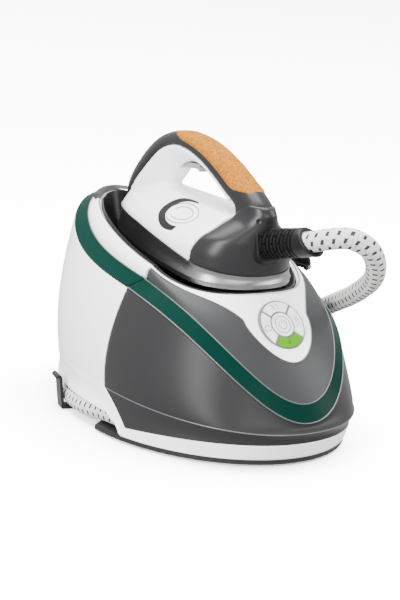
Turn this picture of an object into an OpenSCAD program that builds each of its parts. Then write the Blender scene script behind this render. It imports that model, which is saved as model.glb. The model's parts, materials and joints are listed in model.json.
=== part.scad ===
// Steam generator iron: a base station, the iron parked on its tray, and the steam hose between them.
// Frame: origin on the floor under the middle of the base, +Z up, control panel towards -Y, right side +X.

/* [Shells] */
// Wall thickness of the moulded shells
shell_wall = 2.4; // [2:0.1:2.8]
// Visible seam between neighbouring shells
seam = 0.35; // [0.3:0.05:0.5]

/* [Hose] */
// Outside diameter of the textile steam hose
hose_d = 17; // [16:0.1:17.4]

/* [Controls] */
// Height of the power button above its neighbours
power_proud = 0.6; // [0:0.1:1.5]

/* [Hidden] */
$fn = 48;

// ---------- base surface ----------
// Closed rings of the base, bottom to top: [middle y, half width, reach forward, reach back, roundness]
GROUND   = [-15, 110, 142, 172, 2.0];
LEDGE    = [-16, 103, 151, 177, 2.2];
BELLY    = [-13, 106, 147, 183.8, 2.25];
BAND_LOW = [-19,  87, 142, 185.5, 2.1];
BAND_TOP = [-27,  76, 128, 181, 2.06];
BROW     = [-27,  78, 106, 179, 1.95];
RIM      = [-30,  71,  66, 179, 1.8];
// Height of each ring as a cubic of v, which runs from -1 at the front to 1 at the back
GROUND_Z   = [6, 0, 0, 0];
LEDGE_Z    = [38, 6, -3, 0];
BELLY_Z    = [75, 35, -10, 0];
BAND_LOW_Z = [122, 28, -17, 42];
BAND_TOP_Z = [130, 28, -16.5, 36.5];
BROW_Z     = [139, 32, -5, 12];
RIM_Z      = [141.4, 32, 10.7, -6.6];

function mix(p, q, u) = p + u * (q - p);
function power_of(c, e) = sign(c) * pow(abs(c), e);
function ring_point(ring, z, a, inset) =
    let (e = 2 / ring[4], v = power_of(sin(a), e))
    [(ring[1] - inset) * power_of(cos(a), e),
     ring[0] + ((v < 0 ? ring[2] : ring[3]) - inset) * v,
     z[0] + z[1] * v + z[2] * v * v + z[3] * v * v * v];
function pulled(p, q, r, u) = (1 - u) * (1 - u) * p + 2 * u * (1 - u) * q + u * u * r;
// Point of the base skin at angle a and level t: 0 floor, 1 ledge, 2 and 3 band edges, 4 tray rim
function skin_raw(a, t, inset) =
    t <= 1 ? mix(ring_point(GROUND, GROUND_Z, a, inset), ring_point(LEDGE, LEDGE_Z, a, inset), t)
  : t <= 2 ? pulled(ring_point(LEDGE, LEDGE_Z, a, inset), ring_point(BELLY, BELLY_Z, a, inset),
                    ring_point(BAND_LOW, BAND_LOW_Z, a, inset), t - 1)
  : t <= 3 ? mix(ring_point(BAND_LOW, BAND_LOW_Z, a, inset),
                 ring_point(BAND_TOP, BAND_TOP_Z, a, inset), t - 2)
  : pulled(ring_point(BAND_TOP, BAND_TOP_Z, a, inset), ring_point(BROW, BROW_Z, a, inset),
           ring_point(RIM, RIM_Z, a, inset), t - 3);
function sink(t) = t <= 1 ? 0 : min(1, (t - 1) / 2);
function skin(a, t, inset) = skin_raw(a, t, inset) - [0, 0, inset * sink(t)];
function level_gap(a, t) = 0.04 * seam / norm(skin(a, t + 0.02, 0) - skin(a, t - 0.02, 0));

// The joint line between the front and rear shells: straight up, and slanting forward below the ledge
KINK = 15;
KINK_END = 0.24;
function seam_angle(t) = 180 + KINK * max(0, min(1, (1 - t) / (1 - KINK_END)));
function rear_angle(s, t) = 90 + (s - 90) * (seam_angle(t) - 90) / 90;
function front_angle(s, t) = 270 + (s - 270) * (270 - seam_angle(t)) / 90;

// ---------- solids from grids of points ----------
// A closed skin over loops of points that turn anticlockwise about their direction of travel
module loft(loops) {
    n = len(loops);
    m = len(loops[0]);
    points = concat([for (l = loops) each l],
                    [[for (k = [0:2]) avg(loops[0], k)], [for (k = [0:2]) avg(loops[n - 1], k)]]);
    sides = [for (i = [0:n - 2]) for (j = [0:m - 1]) let (k = (j + 1) % m)
             each [[i * m + j, (i + 1) * m + j, (i + 1) * m + k], [i * m + j, (i + 1) * m + k, i * m + k]]];
    first = [for (j = [0:m - 1]) [n * m, j, (j + 1) % m]];
    last = [for (j = [0:m - 1]) [n * m + 1, (n - 1) * m + (j + 1) % m, (n - 1) * m + j]];
    polyhedron(points = points, faces = concat(sides, first, last), convexity = 8);
}
function avg(loop, k) = total([for (p = loop) p[k]]) / len(loop);
function total(list, i = 0) = i < len(list) ? list[i] + total(list, i + 1) : 0;

// A wall between two grids of points: rows go round the base, each row climbs
module wall(outer, inner, closed) {
    n = len(outer);
    w = len(outer[0]);
    m = 2 * w;
    points = [for (i = [0:n - 1]) each concat(inner[i], [for (j = [w - 1:-1:0]) outer[i][j]])];
    rows = closed ? n - 1 : n - 2;
    sides = [for (i = [0:rows]) for (j = [0:m - 1]) let (k = (j + 1) % m, i2 = (i + 1) % n)
             each [[i * m + j, i2 * m + j, i2 * m + k], [i * m + j, i2 * m + k, i * m + k]]];
    tail = (n - 1) * m;
    ends = closed ? [] : [for (j = [0:w - 2])
             each [[j, j + 1, m - 2 - j], [j, m - 2 - j, m - 1 - j],
                   [tail + j, tail + m - 2 - j, tail + j + 1],
                   [tail + j, tail + m - 1 - j, tail + m - 2 - j]]];
    polyhedron(points = points, faces = concat(sides, ends), convexity = 8);
}
// A patch of the base skin over the listed columns [angle marker, low level, high level].
// Patches that pass the ledge keep a row on it: knee rows lie below it.
KNEE = 4;
function level(c, i, steps) =
    c[1] >= 1 || c[2] <= 1 ? mix(c[1], c[2], i / steps)
  : i < KNEE ? mix(c[1], 1, i / KNEE) : mix(1, c[2], (i - KNEE) / (steps - KNEE));
function marked_angle(s, t) = s < 180 ? rear_angle(s, t) : front_angle(s, t);
module patch(columns, steps, closed = false, proud = 0) {
    grids = [for (inset = [-proud, shell_wall])
             [for (c = columns) [for (i = [0:steps]) let (t = level(c, i, steps))
              skin(marked_angle(c[0], t), t, inset)]]];
    wall(grids[0], grids[1], closed);
}

// ---------- base shells ----------
// The hose recess is an arch in the lower edge of the rear shell
ARCH_LEVEL = 0.43;
ARCH_START = 58;
ARCH_END = 174;
ARCH_RISE = 12;
ARCH_FALL = 5;
function arch(s) =
    ARCH_LEVEL * max(0, min(1, (s - ARCH_START) / ARCH_RISE, (ARCH_END + ARCH_FALL - s) / ARCH_FALL));
// The white skirt under the front shell grows taller towards the front
function white_top(s) = 0.12 + 0.47 * abs(sin(front_angle(s, KINK_END)));
REAR_ANGLES = [0.01, each [4:4:160], each [164:2:178], 179.99];
module rear_shell() {
    color([0.96, 0.96, 0.97]) difference() {
        patch([for (s = REAR_ANGLES) [s, arch(s), 2 - level_gap(s, 2)]], 12);
        at_inlet() cylinder(r = INLET_RING_R + 0.3, h = 20);
    }
}
module front_skirt() {
    color([0.96, 0.96, 0.97])
        patch([for (s = [180.2, each [184:4:356], 359.8]) [s, 0, white_top(s)]], 2);
}
FRONT_COLUMNS = 44;
module front_shell() {
    edge = 0.25;
    markers = [for (i = [0:FRONT_COLUMNS]) 180 + edge + (180 - 2 * edge) * i / FRONT_COLUMNS];
    color([0.35, 0.35, 0.36])
        patch([for (s = markers) [s, white_top(s) + level_gap(s, 0.5), 2 - level_gap(s, 2)]], 12);
}
module band(from, to, n) {
    color([0, 0.32, 0.27]) patch([for (i = [0:n]) [mix(from, to, i / n), 2, 3]], 2);
}
COLLAR_HALF = 13;
module front_band() { band(180.2, 359.8, 48); }
module left_band() { band(90 + COLLAR_HALF, 179.8, 18); }
module right_band() { band(0.2, 90 - COLLAR_HALF, 18); }

// The funnel-shaped lobe of the white deck around the controls
LOBE_R = 33;
LOBE_LEVEL = 0.3;
PANEL_DEPTH = 98;
FLARE = 30;
STRIP = 0.13;
function lobe(a) =
    let (x = abs(73 * cos(a)))
    x < LOBE_R ? LOBE_LEVEL + sqrt(LOBE_R * LOBE_R - x * x) / PANEL_DEPTH
  : STRIP + (LOBE_LEVEL - STRIP) * pow(max(0, 1 - (x - LOBE_R) / FLARE), 2.2);
function deck_low(a) =
    a < 180 ? 3 + level_gap(a, 3.02)
  : let (edge = min(a - 180, 360 - a), s = max(0, 1 - edge / 2))
    4 - max(lobe(a), (1 - level_gap(a, 3.02)) * s);
LOBE_EDGE = acos(LOBE_R / 73);
DECK_ANGLES = concat([180.2, 181.4], [for (i = [0:7]) 182.6 + i * (LOBE_EDGE - 5) / 8],
                     [for (i = [0:32]) 178.5 + LOBE_EDGE + i * (183 - 2 * LOBE_EDGE) / 32],
                     [for (i = [7:-1:0]) 357.4 - i * (LOBE_EDGE - 5) / 8], [358.6, 359.8]);
DIAL = [0, -117, 104.5];
DIAL_TILT = 53;
DIAL_R = 21.4;
module at_dial() { translate(DIAL) rotate([DIAL_TILT, 0, 0]) children(); }
DECK_COLUMNS = concat([for (s = [0:6:74]) [s, deck_low(s), 4]], [[90 - COLLAR_HALF, deck_low(78), 4]],
    [for (s = [90 - COLLAR_HALF + 0.3, 90, 90 + COLLAR_HALF - 0.3]) [s, 3.7, 4]],
    [[90 + COLLAR_HALF, deck_low(102), 4]], [for (s = [106:6:178]) [s, deck_low(s), 4]],
    [for (s = DECK_ANGLES) [s, deck_low(s), 4]]);
module deck_panel() {
    color([0.96, 0.96, 0.97]) difference() {
        patch(DECK_COLUMNS, 6, true);
        at_dial() translate([0, 0, -14]) cylinder(r = DIAL_R + 0.3, h = 30);
    }
}
PANEL_MARGIN = 2;
function panel_low(s) = 3 + level_gap(s, 3.02);
module upper_front_panel() {
    inner = [for (s = DECK_ANGLES) if (s > 180 + PANEL_MARGIN && s < 360 - PANEL_MARGIN) s];
    color([0.41, 0.41, 0.42])
        patch([for (s = inner)
               [s, panel_low(s),
                max(panel_low(s) + 1.2 * level_gap(s, 3.02), deck_low(s) - level_gap(s, 3.5))]], 6);
}

// ---------- base structure ----------
// The plate stands back where the hose lies beside it
RECESS_INSET = 18.5;
PLATE_INSET = 0.8;
function plate_inset(a) = a >= 66 && a <= 178 ? RECESS_INSET : PLATE_INSET;
function outline(ring, inset, from, to, step) =
    [for (a = [from:step:to]) let (p = ring_point(ring, GROUND_Z, a, inset)) [p[0], p[1]]];
PLATE_TOP = 5.7;
PLATE_BOTTOM = 2;
FOOT_AT = [[-78, -78], [78, -78], [-58, 66], [70, 78]];
SCREW_AT = [[-58, -100], [58, -100], [-40, 98], [50, 98]];
module base_plate() {
    color([0.26, 0.26, 0.27]) difference() {
        translate([0, 0, PLATE_BOTTOM]) linear_extrude(PLATE_TOP - PLATE_BOTTOM)
            polygon([for (a = [0:5:355]) outline(GROUND, plate_inset(a), a, a, 1)[0]]);
        for (p = FOOT_AT) translate([p[0], p[1], PLATE_BOTTOM - 1]) cylinder(r = 9, h = 2.6);
        for (p = SCREW_AT) translate([p[0], p[1], PLATE_BOTTOM - 1]) {
            cylinder(r = 2, h = 10);
            cylinder(r = 4.4, h = 2.8);
        }
    }
}
module feet() {
    color([0.12, 0.12, 0.12]) for (p = FOOT_AT) translate([p[0], p[1], 0]) cylinder(r = 8.9, h = 3.6);
}
module base_screws() {
    color([0.7, 0.7, 0.7]) for (p = SCREW_AT) translate([p[0], p[1], PLATE_BOTTOM + 0.3]) {
        cylinder(r = 3.6, h = 1.5);
        cylinder(r = 1.7, h = 12);
    }
}
CHANNEL_DEPTH = 32;
CHANNEL_WALL = 2.2;
CHANNEL_ROOF = 34;
CHANNEL_FROM = 62;
CHANNEL_TO = 194;
module channel_layer(ring, inset, low, high) {
    back = [for (a = [CHANNEL_TO:-4:CHANNEL_FROM])
            outline(GROUND, CHANNEL_DEPTH + CHANNEL_WALL, a, a, 1)[0]];
    translate([0, 0, low]) linear_extrude(high - low)
        polygon(concat(outline(ring, inset, CHANNEL_FROM, CHANNEL_TO, 4), back));
}
module hose_channel() {
    color([0.2, 0.2, 0.21]) {
        channel_layer(GROUND, CHANNEL_DEPTH, PLATE_TOP + 0.1, CHANNEL_ROOF);
        channel_layer(LEDGE, shell_wall + 1.2, CHANNEL_ROOF, CHANNEL_ROOF + 1.6);
    }
}
GLAND = [-88, -51, 15.6];
GLAND_TURN = 23;
module hose_gland() {
    color([0.16, 0.16, 0.17]) translate(GLAND) rotate([90, 0, GLAND_TURN]) difference() {
        cylinder(r = hose_d / 2 + 1.2, h = 16, center = true);
        translate([0, 0, -10]) cylinder(r = hose_d / 2 + 0.3, h = 16);
    }
}
// Hook around the hose: a foot under the plate, an arm outside the hose and a curled cap
HOOK = [-91.5, 54, 0];
HOOK_TURN = -15;
HOOK_WIDTH = 16;
HOOK_ARM = 2.6;
HOOK_ARM_X = -11.6;
HOOK_ARM_TOP = 28;
HOOK_LEAN = 3.2;
HOOK_FOOT = [0.25, 1.95];
HOOK_CURL_R = 2.9;
module hose_hook() {
    color([0.15, 0.15, 0.16]) translate(HOOK) rotate([0, 0, HOOK_TURN]) translate([0, HOOK_WIDTH / 2, 0])
        rotate([90, 0, 0]) linear_extrude(HOOK_WIDTH) {
            translate([HOOK_ARM_X, HOOK_FOOT[0]]) square([27, HOOK_FOOT[1] - HOOK_FOOT[0]]);
            polygon([[HOOK_ARM_X, HOOK_FOOT[0]], [HOOK_ARM_X + HOOK_ARM, HOOK_FOOT[0]],
                     [HOOK_ARM_X + HOOK_ARM - HOOK_LEAN, HOOK_ARM_TOP],
                     [HOOK_ARM_X - HOOK_LEAN, HOOK_ARM_TOP]]);
            translate([HOOK_ARM_X + HOOK_ARM - HOOK_LEAN - HOOK_CURL_R, HOOK_ARM_TOP]) difference() {
                circle(r = HOOK_CURL_R);
                translate([-2 * HOOK_CURL_R, -2 * HOOK_CURL_R]) square([4 * HOOK_CURL_R, 2 * HOOK_CURL_R]);
            }
        }
}
INLET = [76.8, 91.2, 20];
INLET_TURN = -61.8;
INLET_RING_R = 7.8;
module at_inlet() { translate(INLET) rotate([-90, 0, INLET_TURN]) children(); }
module mains_inlet() {
    color([0.14, 0.14, 0.15]) at_inlet() difference() {
        union() {
            translate([0, 0, -3]) cylinder(r = 9, h = 3);
            translate([0, 0, -1]) cylinder(r = 7, h = 17);
            for (k = [1:3]) translate([0, 0, 3 + 3.6 * k]) cylinder(r = INLET_RING_R, h = 1.6);
        }
        translate([0, 0, -4]) cylinder(r = 3.8, h = 24);
    }
}

// ---------- base innards ----------
TANK_WALL = 2;
module tank_block(grow) {
    translate([-50 - grow, 8 - grow, 10 - grow]) cube([108 + 2 * grow, 74 + 2 * grow, 88 + 2 * grow]);
    translate([44 - grow, -52 - grow, 10 - grow]) cube([28 + 2 * grow, 62 + 2 * grow, 88 + 2 * grow]);
}
module water_tank() {
    color([0.8, 0.86, 0.9]) difference() {
        tank_block(0);
        tank_block(-TANK_WALL);
        translate([62, -37, 90]) cube([8, 20, 30], center = true);
        translate([-20, 40, 11]) cylinder(r = 3.2, h = 20, center = true);
    }
}
module filler_chute() {
    color([0.75, 0.75, 0.78]) translate([62, -37, 106]) difference() {
        cube([9, 22, 15.6], center = true);
        cube([6, 19, 40], center = true);
    }
}
FLAP = [79.5, -37, 134.4];
FLAP_LEAN = -20;
FLAP_PIN_R = 1.25;
module at_flap() { translate(FLAP) rotate([0, FLAP_LEAN, 0]) children(); }
module filler_flap() {
    color([0.3, 0.3, 0.31]) at_flap() difference() {
        union() {
            translate([0, -15, 2.7]) cube([2.4, 30, 11.2]);
            translate([0.2, 0, 13.5]) rotate([0, 90, 0]) cylinder(r = 9, h = 2.2);
            translate([1, 8, 0]) rotate([90, 0, 0]) cylinder(r = 2.4, h = 16);
            translate([0, -8, 0]) cube([2.4, 16, 4]);
        }
        translate([1, 20, 0]) rotate([90, 0, 0]) cylinder(r = FLAP_PIN_R + 0.06, h = 40);
    }
}
module flap_pin() {
    color([0.75, 0.75, 0.76]) at_flap() translate([1, 13, 0]) rotate([90, 0, 0])
        cylinder(r = FLAP_PIN_R, h = 26);
}
module flap_bracket() {
    color([0.3, 0.3, 0.31]) at_flap() for (y = [-13, 8.6]) translate([0, y, 0]) difference() {
        union() {
            translate([1, 4.4, 0]) rotate([90, 0, 0]) cylinder(r = 2.4, h = 4.4);
            translate([-2.4, 0, -2.2]) cube([3.4, 4.4, 4.4]);
        }
        translate([1, 6, 0]) rotate([90, 0, 0]) cylinder(r = FLAP_PIN_R + 0.02, h = 12);
    }
}
BOILER = [-18, -46, 52];
module boiler() {
    color([0.72, 0.72, 0.74]) translate(BOILER) {
        cylinder(r = 34, h = 52, center = true);
        translate([0, 0, 26]) cylinder(r1 = 34, r2 = 22, h = 7);
        translate([0, 0, 33]) cylinder(r = 6, h = 5);
        for (a = [30, 150, 270]) rotate([0, 0, a]) translate([33, -5, -46]) cube([3, 10, 30]);
    }
}
module boiler_heater() {
    color([0.55, 0.5, 0.45]) translate(BOILER + [0, 0, -36]) difference() {
        cylinder(r = 28, h = 9);
        translate([0, 0, -1]) cylinder(r = 20, h = 12);
    }
}
module boiler_thermostat() {
    color([0.25, 0.25, 0.26]) translate(BOILER + [0, -15, 38.5]) {
        translate([0, 0, -4.9]) cylinder(r = 6.5, h = 7);
        translate([-4, -1.2, 2]) cube([2, 2.4, 6]);
        translate([2, -1.2, 2]) cube([2, 2.4, 6]);
    }
}
module pump() {
    color([0.85, 0.85, 0.85]) translate([14, -104, 26]) {
        cube([34, 30, 24]);
        translate([17, 30, 12]) rotate([-90, 0, 0]) cylinder(r = 5, h = 14);
        translate([17, 0, 12]) rotate([90, 0, 0]) cylinder(r = 6, h = 9);
    }
}
module pump_cradle() {
    color([0.12, 0.12, 0.12]) {
        translate([12, -102, PLATE_TOP + 0.1]) cube([38, 6, 20.1]);
        translate([12, -82, PLATE_TOP + 0.1]) cube([38, 6, 20.1]);
    }
}
module water_tubes() {
    color([0.85, 0.88, 0.88]) {
        translate([31, -59.8, 38]) rotate([-90, 0, 0]) cylinder(r = 3, h = 24);
        translate([31, -36, 38]) sphere(r = 3);
        translate([31, -36, 12]) cylinder(r = 3, h = 26);
    }
}
module steam_tube() {
    color([0.6, 0.42, 0.3]) {
        translate(BOILER + [0, 0, 38.2]) cylinder(r = 3, h = 6);
        translate(BOILER + [0, 0, 44.2]) sphere(r = 3);
        translate(BOILER + [0, 0, 44.2]) rotate([0, -90, 0]) cylinder(r = 3, h = 40);
        translate(BOILER + [-40, 0, 44.2]) sphere(r = 3);
        translate(BOILER + [-40, 0, -20]) cylinder(r = 3, h = 64.2);
    }
}
module control_board() {
    color([0.1, 0.35, 0.15]) at_dial() translate([0, 0, -17.4]) {
        translate([-26, -22, -1.6]) cube([52, 44, 1.6]);
        for (a = [0:90:270]) rotate([0, 0, a]) translate([12.8, -3, 0]) cube([6, 6, 2]);
        translate([-3, -3, 0]) cube([6, 6, 2]);
    }
}

// ---------- controls ----------
HUB_R = 10.4;
HUB_WALL = 1;
SPOKE = 1.5;
CUP_DEPTH = 12;
DIAL_TURN = 6;
KEY_STEM_R = 1.5;
KEY_STEM_AT = 15.8;
module dial_cup() {
    color([0.94, 0.94, 0.95]) at_dial() difference() {
        translate([0, 0, -CUP_DEPTH]) cylinder(r = DIAL_R, h = CUP_DEPTH);
        difference() {
            translate([0, 0, -CUP_DEPTH + 2]) cylinder(r = DIAL_R - 1, h = CUP_DEPTH);
            translate([0, 0, -CUP_DEPTH]) cylinder(r = HUB_R + HUB_WALL, h = CUP_DEPTH);
            for (a = [45:90:315]) rotate([0, 0, a + DIAL_TURN]) translate([0, -SPOKE / 2, -CUP_DEPTH])
                cube([DIAL_R, SPOKE, CUP_DEPTH]);
        }
        translate([0, 0, -CUP_DEPTH + 2]) cylinder(r = HUB_R, h = CUP_DEPTH);
        for (a = [0:90:270]) rotate([0, 0, a + DIAL_TURN]) translate([KEY_STEM_AT, 0, -CUP_DEPTH - 1])
            cylinder(r = KEY_STEM_R + 0.1, h = 4);
        translate([0, 0, -CUP_DEPTH - 1]) cylinder(r = KEY_STEM_R + 0.1, h = 4);
    }
}
KEY_GAP = 0.3;
KEY_THICK = 4;
module ring_key(turn) {
    at_dial() rotate([0, 0, turn + DIAL_TURN]) {
        half_gap = SPOKE / 2 + KEY_GAP;
        intersection() {
            translate([0, 0, -KEY_THICK]) difference() {
                cylinder(r = DIAL_R - 1 - KEY_GAP, h = KEY_THICK + 0.4);
                translate([0, 0, -1]) cylinder(r = HUB_R + HUB_WALL + KEY_GAP, h = KEY_THICK + 3);
            }
            rotate([0, 0, 45]) translate([half_gap, half_gap - 40, -20]) cube([40, 40 - 2 * half_gap, 40]);
            rotate([0, 0, -45]) translate([half_gap, half_gap, -20]) cube([40, 40, 40]);
        }
        translate([KEY_STEM_AT, 0, -14]) cylinder(r = KEY_STEM_R, h = 11);
    }
}
module turbo_button() { color([0.92, 0.92, 0.93]) ring_key(90); }
module steam_button() { color([0.92, 0.92, 0.93]) ring_key(180); }
module eco_button() { color([0.49, 0.78, 0.1]) ring_key(270); }
module status_window() { color([0.92, 0.92, 0.93]) ring_key(0); }
module power_button() {
    color([0.95, 0.95, 0.96]) at_dial() {
        translate([0, 0, -KEY_THICK]) cylinder(r = HUB_R - KEY_GAP, h = KEY_THICK + power_proud);
        translate([0, 0, -14]) cylinder(r = KEY_STEM_R, h = 11);
    }
}

// ---------- tray ----------
SOLE_Z = 135.6;
SOLE_TILT = 5.14;
module iron_frame() { translate([0, 0, SOLE_Z]) rotate([SOLE_TILT, 0, 0]) children(); }
TRAY_FLOOR = [-16, 56, 64, 140, 1.9];
TRAY_FLOOR_Z = [122, 7, 0, 0];
TRAY_STEPS = 4;
function tray_loop(drop, u, wide) =
    [for (a = [0:6:354])
     let (p = ring_point(RIM, RIM_Z, a, wide),
          q = ring_point(TRAY_FLOOR, TRAY_FLOOR_Z, a, wide - 1),
          bend = [(p[0] + q[0]) / 2, (p[1] + q[1]) / 2, q[2]])
     pulled(p, bend, q, u) - [0, 0, drop]];
TRAY_THICK = 2;
TRAY_OUTER = shell_wall + 0.8;
TRAY_INNER = shell_wall + 2.2;
TRAY_TOP_LOOPS = [for (i = [0:TRAY_STEPS]) tray_loop(0, i / TRAY_STEPS, TRAY_INNER)];
module iron_tray() {
    under = [for (i = [TRAY_STEPS:-1:0]) tray_loop(TRAY_THICK, i / TRAY_STEPS, TRAY_OUTER)];
    color([0.1, 0.1, 0.1]) loft(concat(under, TRAY_TOP_LOOPS));
}
// Everything under the tray's inner face, which the rests on it are cut to
module below_tray() {
    deep = [for (i = [TRAY_STEPS:-1:0]) tray_loop(40, i / TRAY_STEPS, TRAY_OUTER)];
    translate([0, 0, 0.1]) loft(concat(deep, TRAY_TOP_LOOPS));
}
module heel_rest() {
    color([0.09, 0.09, 0.09]) difference() {
        iron_frame() translate([0, -66, -11.2]) {
            translate([-30, -8, 0]) cube([60, 14, 10.9]);
            translate([-34, -11, 0]) cube([68, 3, 8]);
        }
        below_tray();
    }
}
module nose_rest() {
    color([0.09, 0.09, 0.09]) difference() {
        iron_frame() for (y = [60:10:90])
            translate([-24 + (y - 60) / 4, y, -10.5]) cube([48 - (y - 60) / 2, 4, 10.2]);
        below_tray();
    }
}
// Grey collar behind the nose, with a small ribbed grip
COLLAR_ANGLES = [for (i = [0:8]) 90 - COLLAR_HALF + 1 + (2 * COLLAR_HALF - 2) * i / 8];
module nose_collar() {
    color([0.4, 0.4, 0.41]) patch([for (s = COLLAR_ANGLES) [s, 2, 3.66]], 5);
}
// A peak over the rim behind the iron's nose
VISOR_RISE = 3.6;
VISOR_SPAN = 27;
VISOR_LEVEL = 3.4;
module nose_visor() {
    color([0.32, 0.32, 0.33]) translate([0, 0, VISOR_RISE])
        patch([for (i = [0:9]) [90 - VISOR_SPAN + 2 * VISOR_SPAN * i / 9, VISOR_LEVEL, 4]], 3, false, 0.6);
}

// ---------- iron ----------
// Outline of the sole: [middle y, half width, reach to the heel, reach to the nose, roundness of each]
SOLE = [-48, 50, 41.5, 181, 2.1, 1.7];
NOSE_THINNING = 1.8;
function sole_outline(inset) =
    [for (a = [0:5:355])
     let (nose = a <= 180, e = 2 / (nose ? SOLE[5] : SOLE[4]), v = power_of(sin(a), e),
          reach = nose ? SOLE[3] - NOSE_THINNING * inset : SOLE[2] - inset)
     [(SOLE[1] - inset) * power_of(cos(a), e), SOLE[0] + reach * v]];
STEAM_HOLES = [for (k = [0:9]) for (s = [-1, 1]) [s * (34 - 2.9 * k), -40 + 15 * k]];
module soleplate() {
    color([0.75, 0.76, 0.78]) iron_frame() difference() {
        linear_extrude(4) polygon(sole_outline(0.6));
        for (p = STEAM_HOLES) translate([p[0], p[1], -1]) cylinder(r = 1.6, h = 6, $fn = 24);
    }
}
// Upper edge of the metal skirt, low at the heel and rising to the nose
SKIRT_HEEL = 10;
SKIRT_NOSE = 24;
SKIRT_LEAN = 1.5;
function skirt_top(y) =
    let (u = max(0, min(1, (y + 93) / 150))) mix(SKIRT_HEEL, SKIRT_NOSE, u * (3 - u) / 2);
function skirt_loop(inset, low) =
    [for (p = sole_outline(inset)) [p[0], p[1], low ? 4.1 : skirt_top(p[1])]];
module sole_skirt() {
    wall_t = 1.6;
    low = skirt_loop(0, true);
    high = skirt_loop(SKIRT_LEAN, false);
    low_in = skirt_loop(wall_t, true);
    high_in = skirt_loop(SKIRT_LEAN + wall_t, false);
    columns = [for (i = [0:len(low) - 1]) i];
    color([0.66, 0.66, 0.67]) iron_frame()
        wall([for (i = columns) [low[i], high[i]]], [for (i = columns) [low_in[i], high_in[i]]], true);
}
module heater_casting() {
    color([0.6, 0.6, 0.61]) iron_frame() translate([0, 0, 4.2]) {
        linear_extrude(5.5) polygon(sole_outline(7));
        for (x = [-28, 22]) translate([x, -50, 5.5]) cube([6, 90, 1.8]);
        translate([-15, 70, 5.5]) cube([30, 8, 1.8]);
    }
}
SHIELD_TOP = 14.2;
module heat_shield() {
    color([0.15, 0.15, 0.15]) iron_frame() translate([0, 0, SHIELD_TOP - 2.4]) linear_extrude(2.4)
        polygon(sole_outline(7));
}
// Half rings of the iron's upper mouldings in its own frame: [height, seam y, half width, reach, roundness]
// The first ring follows the skirt, whatever its height says
BODY = [[19.4, -46, 48, 174, 1.75], [26, -47, 47, 173, 1.8], [32, -49, 44.5, 171, 1.8],
        [37, -51, 41, 168, 1.85], [42, -54, 35, 163, 1.9], [48, -56, 27.5, 156, 2],
        [52, -58, 23, 150, 2.1], [55, -59, 19.5, 145, 2.2]];
HEEL = [[19.4, -46, 48, 41.5, 2.1], [26, -47, 47, 40.5, 2.1], [32, -49, 44.5, 38.5, 2.1],
        [37, -51, 41, 36.5, 2.15], [42, -54, 34.5, 33.5, 2.2], [48, -56, 26, 32, 2.3],
        [52, -58, 20.5, 30.5, 2.3], [56, -59.5, 17, 29, 2.3], [60.9, -61, 14, 28, 2.3]];
function half_ring(r, inset, heel, drop = 0, follows = false) =
    let (e = 2 / r[4], dip = heel ? -seam - inset : inset)
    [for (i = [0:18])
     let (a = (heel ? 180 : 0) + i * 10, y = r[1] + dip + (r[3] - 2 * inset) * power_of(sin(a), e))
     [(r[2] - inset) * power_of(cos(a), e), y, follows ? skirt_top(y) + 2 * seam : r[0] - drop]];
function ring_loops(rings, inset, heel, drop) =
    [for (i = [0:len(rings) - 1]) half_ring(rings[i], inset, heel, i == 0 ? 0 : drop, i == 0)];
function backwards(list) = [for (i = [len(list) - 1:-1:0]) list[i]];
module moulding(rings, heel) {
    loft(concat(backwards(ring_loops(rings, shell_wall, heel, 2)), ring_loops(rings, 0, heel, 0)));
}
LAMP = [-25.5, -25, 45.5];
LAMP_R = 1.6;
module iron_body() {
    color([0.96, 0.96, 0.97]) iron_frame() difference() {
        moulding(BODY, false);
        translate(LAMP) sphere(r = LAMP_R + 0.05);
    }
}
module heel_cover() {
    color([0.3, 0.3, 0.31]) difference() {
        iron_frame() moulding(HEEL, true);
        at_boot() translate([0, 0, -12]) cylinder(r = 13, h = 30);
        at_boot() translate([-FRAME[0] / 2 - 0.2, FRAME_LOW - 0.2, 4.3])
            cube([FRAME[0] + 0.4, FRAME[1] + 0.4, 60]);
    }
}

// Handle profile stations: [top y, top z, middle y, middle z, low y, low z]
HANDLE = [[119, 183, 112, 177, 56, 176], [111, 195, 104, 187, 50, 188], [99, 209.5, 91, 199, 46, 197],
          [82, 226.5, 74, 214, 38, 205.5], [62, 239, 57, 226.5, 29, 214.5], [38, 245.3, 37, 233, 15, 219.8],
          [16, 244.6, 16, 231.5, 0, 219.5], [-9, 239, -7, 224, -12, 216.5],
          [-36, 228, -27, 213.5, -25, 209.5],
          [-58, 215.5, -43, 203.5, -39, 200.5], [-75, 204.5, -54, 197.2, -48, 194],
          [-86, 196, -60, 192.6, 0, 0], [-89, 190.5, -61, 191.2, 0, 0]];
HANDLE_HALF = 14;
function side_loop(p, q, half, from, to, power) =
    let (y = q - p, e = 2 / power)
    [for (i = [0:12]) let (a = from + (to - from) * i / 12)
     [half * power_of(cos(a), e), p[0] + y[0] * pow(abs(sin(a)), e), p[1] + y[1] * pow(abs(sin(a)), e)]];
CORK_FIRST = 5;
CORK_LAST = 10;
CORK_FOOT = 0.4;
NOSE_HALVES = [8, 12];
function handle_top(i) = [HANDLE[i][0], HANDLE[i][1]];
function handle_mid(i) = [HANDLE[i][2], HANDLE[i][3]];
function handle_low(i) = [HANDLE[i][4], HANDLE[i][5]];
function handle_half(i) = i < 2 ? NOSE_HALVES[i] : HANDLE_HALF;
module handle_shell() {
    color([0.28, 0.28, 0.29]) difference() {
        loft([for (i = [0:len(HANDLE) - 1])
              let (corked = i >= CORK_FIRST && i <= CORK_LAST,
                   top = corked ? mix(handle_mid(i), handle_top(i), CORK_FOOT - 0.02) : handle_top(i))
              side_loop(handle_mid(i), top, handle_half(i), 0, 180, 2.6)]);
        iron_frame() body_block();
    }
}
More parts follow.
